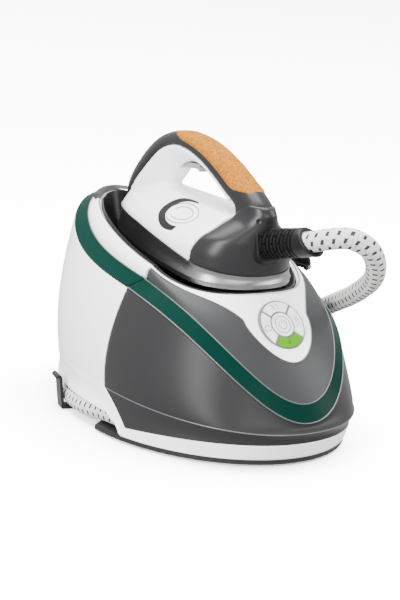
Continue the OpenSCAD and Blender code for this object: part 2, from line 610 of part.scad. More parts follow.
module cork_grip() {
    color([0.84, 0.6, 0.35])
        loft([for (i = [CORK_FIRST:CORK_LAST])
              side_loop(mix(handle_mid(i), handle_top(i), CORK_FOOT), handle_top(i),
                        i == CORK_FIRST ? 9 : 13.6, 0, 180, 2.3)]);
}
// The iron's body as one solid, which the white core stands on
module body_block() {
    loft([for (r = ring_loops(BODY, 0, false, 0)) [for (p = r) p + [0, 0, 0.2]]]);
}
module handle_core() {
    color([0.96, 0.96, 0.97]) difference() {
        loft([for (i = [0:CORK_LAST])
              side_loop(mix(handle_mid(i), handle_low(i), 0.02), handle_low(i), handle_half(i),
                        180, 360, 3)]);
        iron_frame() body_block();
        translate([-6.5, -4, 212]) cube([13, 36, 12]);
        translate(TRIGGER_AXLE) rotate([0, 90, 0])
            cylinder(r = TRIGGER_AXLE_R + 0.03, h = 21, center = true);
    }
}
TRIGGER_AXLE = [0, 27.5, 219.5];
TRIGGER_AXLE_R = 1.2;
module steam_trigger() {
    color([0.8, 0.8, 0.82]) translate(TRIGGER_AXLE) difference() {
        union() {
            rotate([0, 90, 0]) cylinder(r = 3, h = 11, center = true);
            translate([-5.5, -24, -5]) cube([11, 24, 4.6]);
            translate([-5.5, -24, -5]) rotate([0, 90, 0]) cylinder(r = 2, h = 11);
        }
        rotate([0, 90, 0]) cylinder(r = TRIGGER_AXLE_R + 0.06, h = 30, center = true);
    }
}
module trigger_axle() {
    color([0.75, 0.75, 0.76]) translate(TRIGGER_AXLE) rotate([0, 90, 0])
        cylinder(r = TRIGGER_AXLE_R, h = 20, center = true);
}
BOOT = [1, -82, 164];
BOOT_TURN = 6;
BOOT_RISE = 11;
module at_boot() { translate(BOOT) rotate([90 - BOOT_RISE, 0, BOOT_TURN]) children(); }
BOOT_LENGTH = 44;
FRAME = [29, 32, 5];
FRAME_LOW = -16.5;
BORE_ROOM = 0.3;
module boot_frame() {
    color([0.2, 0.2, 0.21]) at_boot() difference() {
        translate([-FRAME[0] / 2, FRAME_LOW, 4.5]) cube(FRAME);
        translate([0, 0, -2]) cylinder(r = 12.6, h = 20);
    }
}
module hose_boot() {
    color([0.14, 0.14, 0.15]) at_boot() difference() {
        union() {
            cylinder(r = 12.3, h = 10);
            cylinder(r = 10.2, h = BOOT_LENGTH);
            for (k = [0:6]) translate([0, 0, 11 + 4.8 * k]) cylinder(r = 13.4 - 0.12 * k, h = 2.6);
        }
        translate([0, 0, -1]) cylinder(r = hose_d / 2 + BORE_ROOM, h = BOOT_LENGTH + 4);
    }
}
module hose_collar() {
    color([0.14, 0.14, 0.15]) at_boot() translate([0, 0, BOOT_LENGTH + 0.3]) difference() {
        cylinder(r = 11.8, h = 14);
        translate([0, 0, -1]) cylinder(r = hose_d / 2 + 3 * BORE_ROOM, h = 20);
        translate([-20, -30, 14]) rotate([14, 0, 0]) cube([40, 60, 20]);
    }
}
module iron_lamp() {
    color([0.9, 0.5, 0.1]) iron_frame() translate(LAMP) sphere(r = LAMP_R);
}
module iron_thermostat() {
    color([0.3, 0.3, 0.3]) iron_frame() translate([0, 20, SHIELD_TOP]) {
        cylinder(r = 8, h = 9);
        translate([-5, -1, 9]) cube([2, 2, 5]);
        translate([3, -1, 9]) cube([2, 2, 5]);
    }
}
module thermal_fuse() {
    color([0.85, 0.85, 0.8]) iron_frame() translate([0, 45, SHIELD_TOP]) {
        translate([-11, -4, 0]) cube([22, 8, 2]);
        translate([-9, 0, 5]) rotate([0, 90, 0]) cylinder(r = 2.9, h = 18);
    }
}
module terminal_block() {
    color([0.9, 0.9, 0.86]) iron_frame() translate([-14, -36, SHIELD_TOP]) difference() {
        cube([28, 12, 10]);
        for (k = [0:3]) translate([4 + 6.6 * k, 6, 3]) cylinder(r = 2, h = 10);
    }
}
module iron_screws() {
    color([0.7, 0.7, 0.7]) iron_frame() for (p = [[0, 85], [-24, -5], [24, -5]])
        translate([p[0], p[1], SHIELD_TOP]) cylinder(r = 3.5, h = 2.2);
}

// ---------- steam hose ----------
// Out of the iron, over the right side and down behind the base
HOSE_OUT = [[4.6, -116.2, 170.7], [6.6, -135.7, 174.5], [11.5, -151, 179], [23, -163, 181], [38, -167, 174.5],
            [52, -162, 163], [64, -151, 149.5], [73, -137, 139], [80, -121, 130], [86, -104, 121],
            [92, -86, 113], [100, -60, 102], [111, -29, 88], [122, 2, 74], [131, 34, 60],
            [139, 68, 46], [148, 105, 36], [161, 142, 30]];
// From the coil round the left side, through the recess and the hook, into the gland
HOSE_BACK = [[38, 222, 8.8], [14, 178, 8.8], [-12, 152.5, 8.8], [-38, 134.5, 8.8], [-61, 113.5, 8.8],
             [-78, 87, 9.4], [-89.5, 60, 10.8], [-95, 40, 11], [-98.4, 13, 12.8], [-96.8, -12, 15.2],
             [-94.5, -32, 15.6], [-89.5, -47.5, 15.6]];
// The spare length lies behind the base in a flat coil that widens as it turns, under its own first strand
COIL_AT = [137, 223];
COIL_R = [60, 88];
COIL_FROM = -30;
COIL_TO = 510;
COIL_STEP = 30;
COIL_DROP = 90;
COIL_LIFT = 18.2;
HOSE_REST = 8.8;
function coil_point(a) =
    let (r = mix(COIL_R[0], COIL_R[1], (a - COIL_FROM) / (COIL_TO - COIL_FROM)),
         d = max(0, 1 - (a - COIL_FROM) / COIL_DROP))
    [COIL_AT[0] + r * cos(a), COIL_AT[1] + r * sin(a), HOSE_REST + COIL_LIFT * d * d * (3 - 2 * d)];
HOSE_COIL = [for (a = [COIL_FROM:COIL_STEP:COIL_TO]) coil_point(a)];
HOSE_PATH = concat(HOSE_OUT, HOSE_COIL, HOSE_BACK);
// Points added between those of the path, only off the coil
HOSE_FINE = 2;
HOSE_SIDES = 10;
function fine(i) = i < len(HOSE_OUT) || i >= len(HOSE_OUT) + len(HOSE_COIL) - 1 ? HOSE_FINE : 1;
function at_end(i) = max(0, min(len(HOSE_PATH) - 1, i));
function hose_at(i, u) =
    let (a = HOSE_PATH[at_end(i - 1)], b = HOSE_PATH[i],
         c = HOSE_PATH[at_end(i + 1)], d = HOSE_PATH[at_end(i + 2)])
    0.5 * (2 * b + (c - a) * u + (2 * a - 5 * b + 4 * c - d) * u * u + (3 * b - a - 3 * c + d) * u * u * u);
HOSE_LINE = [for (i = [0:len(HOSE_PATH) - 2]) for (k = [0:fine(i) - 1]) hose_at(i, k / fine(i)),
             HOSE_PATH[len(HOSE_PATH) - 1]];
function unit(v) = v / norm(v);
module steam_hose() {
    n = len(HOSE_LINE);
    color([0.85, 0.85, 0.84]) loft([for (i = [0:n - 1])
        let (t = unit(HOSE_LINE[min(n - 1, i + 1)] - HOSE_LINE[max(0, i - 1)]),
             side = unit(cross(t, [0, 0, 1])), up = cross(side, t))
        [for (k = [0:HOSE_SIDES - 1]) let (a = -360 * k / HOSE_SIDES)
         HOSE_LINE[i] + hose_d / 2 * (cos(a) * side + sin(a) * up)]]);
}

rear_shell();
front_shell();
front_skirt();
front_band();
left_band();
right_band();
deck_panel();
upper_front_panel();
base_plate();
feet();
base_screws();
hose_channel();
hose_gland();
hose_hook();
mains_inlet();
water_tank();
filler_chute();
filler_flap();
flap_pin();
flap_bracket();
boiler();
boiler_heater();
boiler_thermostat();
pump();
pump_cradle();
water_tubes();
steam_tube();
control_board();
dial_cup();
turbo_button();
steam_button();
eco_button();
status_window();
power_button();
iron_tray();
heel_rest();
nose_rest();
nose_collar();
nose_visor();
soleplate();
sole_skirt();
heater_casting();
heat_shield();
iron_body();
heel_cover();
handle_shell();
cork_grip();
handle_core();
steam_trigger();
trigger_axle();
boot_frame();
hose_boot();
hose_collar();
iron_lamp();
iron_thermostat();
thermal_fuse();
terminal_block();
iron_screws();
steam_hose();
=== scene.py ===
import json
import math

import bmesh
import bpy
from mathutils import Euler, Matrix, Vector
from mathutils.bvhtree import BVHTree


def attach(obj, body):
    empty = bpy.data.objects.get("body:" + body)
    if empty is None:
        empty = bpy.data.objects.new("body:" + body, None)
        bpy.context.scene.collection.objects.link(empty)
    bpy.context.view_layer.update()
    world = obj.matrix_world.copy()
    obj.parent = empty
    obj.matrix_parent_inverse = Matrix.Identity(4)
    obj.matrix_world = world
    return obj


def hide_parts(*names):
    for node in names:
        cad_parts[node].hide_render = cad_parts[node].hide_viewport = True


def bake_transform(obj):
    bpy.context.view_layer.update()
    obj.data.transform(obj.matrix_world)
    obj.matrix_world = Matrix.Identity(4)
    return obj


MM = 0.001
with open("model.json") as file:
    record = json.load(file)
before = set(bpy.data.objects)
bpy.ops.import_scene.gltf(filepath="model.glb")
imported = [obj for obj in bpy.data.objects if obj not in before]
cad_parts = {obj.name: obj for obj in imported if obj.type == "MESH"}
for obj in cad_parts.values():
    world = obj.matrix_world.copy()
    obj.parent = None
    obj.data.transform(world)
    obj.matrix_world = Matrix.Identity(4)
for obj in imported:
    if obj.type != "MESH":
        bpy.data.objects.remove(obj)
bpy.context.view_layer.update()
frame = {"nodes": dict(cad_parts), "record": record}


# ---------- camera, light and floor ----------
CAMERA_TURN = -36.0
CAMERA_HEIGHT_ANGLE = 11.1
CAMERA_ROLL = 3.57
CAMERA_AIM = (0, -0.018, 0.12)
CAMERA_DISTANCE = 1.089


def add_camera():
    """A long lens that looks at the object from its front left, a little from above."""
    azimuth, elevation = math.radians(CAMERA_TURN), math.radians(CAMERA_HEIGHT_ANGLE)
    roll = math.radians(CAMERA_ROLL)
    flat = math.cos(elevation)
    back = Vector((math.sin(azimuth) * flat, -math.cos(azimuth) * flat, math.sin(elevation)))
    right = Vector((math.cos(azimuth), math.sin(azimuth), 0))
    up = back.cross(right)
    turned_right = right * math.cos(roll) + up * math.sin(roll)
    turned_up = up * math.cos(roll) - right * math.sin(roll)
    data = bpy.data.cameras.new("camera")
    data.sensor_width = 36
    data.lens = 75.9
    data.shift_x = -0.0206
    data.shift_y = -0.0299
    data.clip_end = 20
    obj = bpy.data.objects.new("camera", data)
    bpy.context.scene.collection.objects.link(obj)
    axes = Matrix((turned_right, turned_up, back)).transposed()
    obj.matrix_world = Matrix.Translation(Vector(CAMERA_AIM) + back * CAMERA_DISTANCE) @ axes.to_4x4()
    bpy.context.scene.camera = obj


def add_light(name, place, aim, size, power):
    """A rectangular softbox; place, aim and size are in metres, power in watts."""
    data = bpy.data.lights.new(name, "AREA")
    data.energy = power
    data.shape = "RECTANGLE"
    data.size, data.size_y = size
    obj = bpy.data.objects.new(name, data)
    bpy.context.scene.collection.objects.link(obj)
    obj.location = place
    obj.rotation_euler = (Vector(aim) - Vector(place)).to_track_quat("-Z", "Y").to_euler()


def add_studio():
    """Four softboxes round the object and an even white surrounding."""
    centre = (0, 0, 0.1)
    add_light("softbox_left", (-1.4, -0.5, 0.75), centre, (0.5, 1.3), 66)
    add_light("softbox_right", (1.3, -0.9, 0.9), centre, (0.6, 1.2), 26)
    add_light("softbox_top", (0.0, 0.3, 1.7), centre, (1.6, 1.2), 100)
    add_light("softbox_front", (-0.3, -1.9, 0.9), centre, (1.4, 0.7), 26)
    world = bpy.data.worlds.new("studio")
    world.use_nodes = True
    background = world.node_tree.nodes["Background"]
    background.inputs["Color"].default_value = (1, 1, 1, 1)
    background.inputs["Strength"].default_value = 1.4
    bpy.context.scene.world = world


def face_outwards(mesh):
    """Turns every face of a closed mesh to the outside."""
    grid = bmesh.new()
    grid.from_mesh(mesh)
    bmesh.ops.recalc_face_normals(grid, faces=grid.faces)
    grid.to_mesh(mesh)
    grid.free()


def mesh_object(name, points, faces):
    """A new object in the scene from points in metres and faces."""
    mesh = bpy.data.meshes.new(name)
    mesh.from_pydata([tuple(p) for p in points], [], faces)
    mesh.validate()
    face_outwards(mesh)
    obj = bpy.data.objects.new(name, mesh)
    bpy.context.scene.collection.objects.link(obj)
    return obj


FLOOR_GLOW = 0.6
FLOOR_WASH = 40
WASH_SOFTNESS = 75
WASH_LEAN = (-8, 22)


def add_floor():
    """A pale floor that curves up into a backdrop."""
    reach, rise, steps = 4.0, 2.5, 24
    ramp = [(reach * 0.6 + rise * math.sin(a), rise * (1 - math.cos(a)))
            for a in [math.radians(90) * i / steps for i in range(steps + 1)]]
    profile = [(-reach, 0.0)] + ramp
    points = [(x, y, z) for y, z in profile for x in (-reach * 2, reach * 2)]
    faces = [(2 * i, 2 * i + 1, 2 * i + 3, 2 * i + 2) for i in range(len(profile) - 1)]
    floor = mesh_object("studio_floor", points, faces)
    for polygon in floor.data.polygons:
        polygon.use_smooth = True
    white = plain("floor_white", (0.92, 0.92, 0.92), 0.9, grain=0.01, gleam=0.1, glow=FLOOR_GLOW)
    floor.data.materials.append(white)
    floor.visible_diffuse = False
    floor.visible_glossy = False
    add_floor_wash(floor)


def add_floor_wash(floor):
    """A broad light that reaches the floor alone: it turns white and keeps a soft contact shadow."""
    light = bpy.data.objects.new("floor_wash", bpy.data.lights.new("floor_wash", "SUN"))
    light.data.energy = FLOOR_WASH
    light.data.angle = math.radians(WASH_SOFTNESS)
    light.rotation_euler = (math.radians(WASH_LEAN[0]), math.radians(WASH_LEAN[1]), 0)
    bpy.context.scene.collection.objects.link(light)
    floor_only = bpy.data.collections.new("floor_only")
    floor_only.objects.link(floor)
    light.light_linking.receiver_collection = floor_only


# ---------- materials ----------
made = {}


def link(tree, a, a_out, b, b_in):
    """Joins output a_out of node a to input b_in of node b."""
    tree.links.new(a.outputs[a_out], b.inputs[b_in])


def math_node(tree, operation, a, b=None):
    """One arithmetic step; a and b are sockets or numbers."""
    node = tree.nodes.new("ShaderNodeMath")
    node.operation = operation
    for socket, value in zip(node.inputs, (a, b)):
        if value is None:
            continue
        if isinstance(value, (int, float)):
            socket.default_value = value
        else:
            tree.links.new(value, socket)
    return node.outputs[0]


def noise(tree, scale, detail=2.0, stretch=(1, 1, 1)):
    """Soft noise fixed to the piece, finer along the axes that stretch enlarges."""
    place = tree.nodes.new("ShaderNodeTexCoord")
    mapping = tree.nodes.new("ShaderNodeMapping")
    mapping.inputs["Scale"].default_value = stretch
    link(tree, place, "Object", mapping, "Vector")
    node = tree.nodes.new("ShaderNodeTexNoise")
    node.inputs["Scale"].default_value = scale
    node.inputs["Detail"].default_value = detail
    link(tree, mapping, "Vector", node, "Vector")
    return node.outputs["Fac"]


def mixed(tree, factor, first, second):
    """A colour between first and second, which are sockets or colours."""
    node = tree.nodes.new("ShaderNodeMix")
    node.data_type = "RGBA"
    tree.links.new(factor, node.inputs[0])
    for socket, value in ((node.inputs[6], first), (node.inputs[7], second)):
        if isinstance(value, tuple):
            socket.default_value = (*value, 1)
        else:
            tree.links.new(value, socket)
    return node.outputs[2]


def ranged(tree, value, low, high, to_low, to_high):
    """value moved from the range low..high to the range to_low..to_high."""
    node = tree.nodes.new("ShaderNodeMapRange")
    node.inputs["From Min"].default_value = low
    node.inputs["From Max"].default_value = high
    node.inputs["To Min"].default_value = to_low
    node.inputs["To Max"].default_value = to_high
    tree.links.new(value, node.inputs["Value"])
    return node.outputs["Result"]


def scaled(color, factor, lift=0.0):
    """A lighter or darker colour, never over white."""
    return tuple(min(1.0, c * factor + lift) for c in color)


FINE_GRAIN = 2400.0
SLOW_GRAIN = 14.0
BUMP_DEPTH = 0.0004


def plain(name, color, rough, metallic=0.0, coat=0.0, grain=0.05, bump=0.02, gleam=0.5, glow=0.0,
          pattern=None):
    """A moulded or cast surface: slow colour variation, uneven gloss, fine grain and paler edges."""
    if name in made:
        return made[name]
    mat = bpy.data.materials.new(name)
    mat.use_nodes = True
    tree = mat.node_tree
    shader = tree.nodes["Principled BSDF"]
    shader.inputs["Metallic"].default_value = metallic
    shader.inputs["Coat Weight"].default_value = coat
    shader.inputs["Coat Roughness"].default_value = 0.08
    shader.inputs["Specular IOR Level"].default_value = gleam
    shader.inputs["Emission Color"].default_value = (1, 1, 1, 1)
    shader.inputs["Emission Strength"].default_value = glow
    slow = noise(tree, SLOW_GRAIN, 3.0)
    tint = mixed(tree, slow, scaled(color, 1 - grain), scaled(color, 1 + grain, grain * 0.01))
    height = noise(tree, FINE_GRAIN)
    distance = BUMP_DEPTH
    if pattern:
        tint, height, distance = pattern(tree, tint, height, color)
    surface = tree.nodes.new("ShaderNodeNewGeometry")
    # Paler colour on sharp convex edges, found by pointiness.
    convex_paling = ranged(tree, surface.outputs["Pointiness"], 0.53, 0.62, 0.0, 0.3)
    edged = mixed(tree, convex_paling, tint, scaled(color, 1.2, 0.01))
    tree.links.new(edged, shader.inputs["Base Color"])
    gloss = ranged(tree, slow, 0, 1, max(0.02, rough - 0.05), min(1.0, rough + 0.06))
    tree.links.new(gloss, shader.inputs["Roughness"])
    rise = tree.nodes.new("ShaderNodeBump")
    rise.inputs["Strength"].default_value = bump
    rise.inputs["Distance"].default_value = distance
    tree.links.new(height, rise.inputs["Height"])
    link(tree, rise, "Normal", shader, "Normal")
    made[name] = mat
    return mat


def cork_pattern(tree, tint, height, color):
    """Pressed cork: pale and dark granules with brown flecks between them."""
    grains = tree.nodes.new("ShaderNodeTexVoronoi")
    place = tree.nodes.new("ShaderNodeTexCoord")
    link(tree, place, "Object", grains, "Vector")
    grains.inputs["Scale"].default_value = 640.0
    shade = tree.nodes.new("ShaderNodeSeparateColor")
    link(tree, grains, "Color", shade, "Color")
    granule = mixed(tree, shade.outputs[0], scaled(color, 0.75), scaled(color, 1.25))
    fleck = ranged(tree, noise(tree, 900.0, 3.0), 0.6, 0.68, 0.0, 0.75)
    return mixed(tree, fleck, granule, scaled(color, 0.22)), grains.outputs["Distance"], 0.0006


def brushed_pattern(tree, tint, height, color):
    """Fine lines that run along the metal."""
    lines = noise(tree, 60.0, 4.0, (1, 1, 45))
    return mixed(tree, lines, scaled(color, 0.8), scaled(color, 1.2)), lines, 0.0002


DASH_PITCH = 7.6 * MM
DASH_ROWS = 8
DASH_LONG = 0.3
DASH_WIDE = 0.62
DASH_SLANT = 0.22


def braid_pattern(tree, tint, height, color):
    """A woven sleeve with staggered rows of short dark dashes and a fine rib."""
    along = tree.nodes.new("ShaderNodeAttribute")
    along.attribute_name = "along"
    around = tree.nodes.new("ShaderNodeAttribute")
    around.attribute_name = "around"
    row = math_node(tree, "MULTIPLY", around.outputs["Fac"], DASH_ROWS)
    across = math_node(tree, "FRACT", row)
    odd = math_node(tree, "MODULO", math_node(tree, "FLOOR", row), 2.0)
    shift = math_node(tree, "ADD", math_node(tree, "MULTIPLY", odd, 0.5),
                      math_node(tree, "MULTIPLY", across, DASH_SLANT))
    turn = math_node(tree, "FRACT", math_node(tree, "ADD", shift,
                     math_node(tree, "DIVIDE", along.outputs["Fac"], DASH_PITCH)))
    dash = math_node(tree, "MULTIPLY", math_node(tree, "LESS_THAN", turn, DASH_LONG),
                     math_node(tree, "LESS_THAN", across, DASH_WIDE))
    rib = math_node(tree, "SINE", math_node(tree, "MULTIPLY", along.outputs["Fac"], 2600.0))
    return mixed(tree, dash, tint, (0.03, 0.03, 0.032)), rib, 0.0004


FINISH = {
    "white_shell": dict(color=(0.83, 0.83, 0.84), rough=0.2, coat=0.3, grain=0.01, bump=0.01),
    "grey_shell": dict(color=(0.017, 0.017, 0.0177), rough=0.34, grain=0.06, bump=0.05, gleam=0.1),
    "grey_panel": dict(color=(0.023, 0.0237, 0.0245), rough=0.34, grain=0.05, bump=0.05, gleam=0.12),
    "green_band": dict(color=(0.0, 0.0155, 0.0112), rough=0.3, grain=0.05, bump=0.01, gleam=0.03),
    "base_grey": dict(color=(0.009, 0.009, 0.0095), rough=0.5, grain=0.08, bump=0.15, gleam=0.2),
    "foot_rubber": dict(color=(0.006, 0.006, 0.006), rough=0.8, grain=0.1, bump=0.2, gleam=0.1),
    "black_plastic": dict(color=(0.004, 0.004, 0.0042), rough=0.4, grain=0.1, bump=0.1, gleam=0.2),
    "tank_plastic": dict(color=(0.5, 0.56, 0.6), rough=0.3, grain=0.04),
    "steel": dict(color=(0.3, 0.3, 0.31), rough=0.3, metallic=1.0, grain=0.04),
    "boiler_metal": dict(color=(0.3, 0.3, 0.31), rough=0.4, metallic=1.0, grain=0.08),
    "copper_tube": dict(color=(0.4, 0.17, 0.08), rough=0.3, metallic=1.0, grain=0.08),
    "silicone": dict(color=(0.4, 0.43, 0.43), rough=0.5, grain=0.05),
    "board_green": dict(color=(0.01, 0.07, 0.02), rough=0.4, grain=0.1),
    "button_white": dict(color=(0.66, 0.66, 0.67), rough=0.4, grain=0.01, bump=0.03),
    "button_green": dict(color=(0.055, 0.2, 0.0), rough=0.5, grain=0.03, bump=0.03, gleam=0.03),
    "outline_grey": dict(color=(0.12, 0.12, 0.124), rough=0.4, grain=0.03, gleam=0.2),
    # piping_grey also colours the ledge bead, where its paler grey is a painted highlight.
    "piping_grey": dict(color=(0.06, 0.063, 0.067), rough=0.35, grain=0.03, gleam=0.4),
    "tray_black": dict(color=(0.003, 0.003, 0.003), rough=0.35, grain=0.1, bump=0.05, gleam=0.15),
    "sole_metal": dict(color=(0.2, 0.2, 0.204), rough=0.32, metallic=1.0, bump=0.3, pattern=brushed_pattern),
    "casting": dict(color=(0.2, 0.2, 0.2), rough=0.5, metallic=1.0, grain=0.1, bump=0.2),
    "handle_grey": dict(color=(0.012, 0.012, 0.0127), rough=0.3, grain=0.05, bump=0.03, gleam=0.18),
    "cork": dict(color=(0.27, 0.1, 0.009), rough=0.8, bump=0.3, gleam=0.05, pattern=cork_pattern),
    "trigger_grey": dict(color=(0.22, 0.22, 0.23), rough=0.25, grain=0.03),
    "boot_rubber": dict(color=(0.004, 0.004, 0.0042), rough=0.42, grain=0.1, bump=0.1, gleam=0.12),
    "lamp": dict(color=(0.2, 0.2, 0.21), rough=0.15, coat=0.3, grain=0.03),
    "ceramic": dict(color=(0.6, 0.6, 0.55), rough=0.5, grain=0.04),
    "hose_textile": dict(color=(0.55, 0.55, 0.535), rough=0.85, grain=0.05, bump=0.35, gleam=0.1,
                         pattern=braid_pattern),
}
node_slot = {s["node"]: s["material_slot"] for s in frame["record"]["subparts"]}
NODE_LOOK = {"dial_cup": "outline_grey"}


def finish_of(slot):
    """The material of a slot, made once."""
    return plain(slot, **FINISH[slot])


# ---------- making pieces ----------
SHARP = math.radians(35)


def settle(obj, body, slot, *nodes):
    """Smooth shading, the slot's finish, and the body and CAD nodes that the piece belongs to."""
    for polygon in obj.data.polygons:
        polygon.use_smooth = True
    obj.data.set_sharp_from_angle(angle=SHARP)
    obj.data.materials.clear()
    obj.data.materials.append(finish_of(slot))
    if body:
        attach(obj, body)
    if nodes:
        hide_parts(*nodes)
    return obj


def mix(p, q, u):
    """The point or number that lies u of the way from p to q."""
    return p + (q - p) * u


def power_of(c, e):
    """The power e of c, with the sign of c."""
    return math.copysign(abs(c) ** e, c)


def wave(a):
    """Cosine and sine of an angle in degrees."""
    return math.cos(math.radians(a)), math.sin(math.radians(a))


def through(points, fine):
    """A smooth curve through points, with fine steps between each pair."""
    points = [Vector(p) for p in points]
    last = len(points) - 1
    out = []
    for i in range(last):
        a, b = points[max(0, i - 1)], points[i]
        c, d = points[i + 1], points[min(last, i + 2)]
        for k in range(fine):
            u = k / fine
            out.append(0.5 * (2 * b + (c - a) * u + (2 * a - 5 * b + 4 * c - d) * u * u
                              + (3 * b - a - 3 * c + d) * u ** 3))
    return out + [points[last]]


def loft_data(loops):
    """Points and faces of a closed skin over loops of points."""
    m = len(loops[0])
    points = [p for loop in loops for p in loop]
    faces = [(i * m + j, (i + 1) * m + j, (i + 1) * m + (j + 1) % m, i * m + (j + 1) % m)
             for i in range(len(loops) - 1) for j in range(m)]
    faces.append(tuple(range(m)))
    faces.append(tuple((len(loops) - 1) * m + j for j in range(m - 1, -1, -1)))
    return points, faces


def loft(name, loops):
    """A closed skin over loops of points in mm."""
    points, faces = loft_data(loops)
    return mesh_object(name, [Vector(p) * MM for p in points], faces)


def wall(name, outer, inner, closed):
    """A wall between two grids of points: columns go round, each column climbs."""
    n, w = len(outer), len(outer[0])
    m = 2 * w
    points = [Vector(p) * MM for i in range(n) for p in inner[i] + outer[i][::-1]]
    faces = []
    for i in range(n if closed else n - 1):
        k = (i + 1) % n
        faces += [(i * m + j, k * m + j, k * m + (j + 1) % m, i * m + (j + 1) % m) for j in range(m)]
    if not closed:
        tail = (n - 1) * m
        faces += [(j, j + 1, m - 2 - j, m - 1 - j) for j in range(w - 1)]
        faces += [(tail + j, tail + m - 1 - j, tail + m - 2 - j, tail + j + 1) for j in range(w - 1)]
    return mesh_object(name, points, faces)


def tube(name, path, radius, sides=8, closed=False, facts=False):
    """A round tube along points in metres; facts stores how far along and around each point is."""
    path = [Vector(p) for p in path]
    n = len(path)
    side = None
    points, along, around, run = [], [], [], 0.0
    for i, p in enumerate(path):
        before = path[i - 1] if i or closed else p
        after = path[(i + 1) % n] if i < n - 1 or closed else p
        t = (after - before).normalized()
        side = side or t.orthogonal().normalized()
        side = (side - t * side.dot(t)).normalized()
        other = t.cross(side)
        run += (p - path[i - 1]).length if i else 0.0
        for k in range(sides):
            c, s = wave(360 * k / sides)
            points.append(p + radius * (c * side + s * other))
            along.append(run)
            around.append(k / sides)
    faces = [(i * sides + j, i * sides + (j + 1) % sides, (i + 1) % n * sides + (j + 1) % sides,
              (i + 1) % n * sides + j) for i in range(n if closed else n - 1) for j in range(sides)]
    if not closed:
        faces.append(tuple(range(sides - 1, -1, -1)))
        faces.append(tuple((n - 1) * sides + j for j in range(sides)))
    obj = mesh_object(name, points, faces)
    if facts:
        obj.data.attributes.new("along", "FLOAT", "POINT").data.foreach_set("value", along)
        obj.data.attributes.new("around", "FLOAT", "POINT").data.foreach_set("value", around)
    return obj


def lathe(name, profile, frame_at, segments=64, shape=None):
    """A closed ring turned about the local z axis; profile is a loop of (radius, height) in mm."""
    m = len(profile)
    points = []
    for k in range(segments):
        turn = 360 * k / segments
        c, s = wave(turn)
        for r, z in profile:
            if shape:
                r, z = shape(r, z, turn)
            points.append(frame_at @ (Vector((r * c, r * s, z)) * MM))
    faces = []
    for k in range(segments):
        here, there = k * m, (k + 1) % segments * m
        faces += [(here + j, here + (j + 1) % m, there + (j + 1) % m, there + j) for j in range(m)]
    return mesh_object(name, points, faces)


def apply_modifiers(obj):
    """Keeps the shape that the object's modifiers give and removes them."""
    graph = bpy.context.evaluated_depsgraph_get()
    result = bpy.data.meshes.new_from_object(obj.evaluated_get(graph))
    obj.modifiers.clear()
    obj.data = result


def fused(name, lofts, voxel, rounds):
    """Several closed lofts grown together into one skin with soft fillets where they meet."""
    points, faces = [], []
    for loops in lofts:
        more_points, more_faces = loft_data(loops)
        start = len(points)
        points += [Vector(p) * MM for p in more_points]
        faces += [tuple(start + v for v in face) for face in more_faces]
    obj = mesh_object(name, points, faces)
    remesh = obj.modifiers.new("grow_together", "REMESH")
    remesh.mode = "VOXEL"
    remesh.voxel_size = voxel * MM
    smooth = obj.modifiers.new("soften", "SMOOTH")
    smooth.factor = 0.5
    smooth.iterations = rounds
    apply_modifiers(obj)
    return obj


def cut(obj, cutter):
    """Takes the cutter's shape out of obj and removes the cutter."""
    boolean = obj.modifiers.new("cut", "BOOLEAN")
    boolean.operation = "DIFFERENCE"
    boolean.object = cutter
    apply_modifiers(obj)
    bpy.data.objects.remove(cutter)


# ---------- steam hose ----------
HOSE_D = 17 * MM
HOSE_OUT = [(4.6, -116.2, 170.7), (6.6, -135.7, 174.5), (11.5, -151, 179), (23, -163, 181),
            (38, -167, 174.5), (52, -162, 163), (64, -151, 149.5), (73, -137, 139), (80, -121, 130),
            (86, -104, 121), (92, -86, 113), (100, -60, 102), (111, -29, 88), (122, 2, 74),
            (131, 34, 60), (139, 68, 46), (148, 105, 36), (161, 142, 30)]
HOSE_BACK = [(38, 222, 8.8), (14, 178, 8.8), (-12, 152.5, 8.8), (-38, 134.5, 8.8), (-61, 113.5, 8.8),
             (-78, 87, 9.4), (-89.5, 60, 10.8), (-95, 40, 11), (-98.4, 13, 12.8), (-96.8, -12, 15.2),
             (-94.5, -32, 15.6), (-89.5, -47.5, 15.6)]
COIL_AT = (137, 223)
COIL_R = (60, 88)
COIL_FROM, COIL_TO, COIL_STEP, COIL_DROP = -30, 510, 30, 90
COIL_LIFT = 18.2
HOSE_REST = 8.8


def coil_point(a):
    """Point of the coil at angle a: the first part comes down onto the floor, and the turns grow outwards."""
    r = mix(*COIL_R, (a - COIL_FROM) / (COIL_TO - COIL_FROM))
    d = max(0, 1 - (a - COIL_FROM) / COIL_DROP)
    c, s = wave(a)
    return COIL_AT[0] + r * c, COIL_AT[1] + r * s, HOSE_REST + COIL_LIFT * d * d * (3 - 2 * d)


HOSE_FINE = 8
HOSE_SIDES = 24


def add_hose():
    """The textile hose, fixed to the base at one end and carried by the iron at the other."""
    coil = [coil_point(a) for a in range(COIL_FROM, COIL_TO + 1, COIL_STEP)]
    path = [p * MM for p in through(HOSE_OUT + coil + HOSE_BACK, HOSE_FINE)]
    hose = tube("textile_hose", path, HOSE_D / 2, HOSE_SIDES, facts=True)
    settle(hose, None, "hose_textile")
    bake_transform(hose)
    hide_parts("steam_hose")


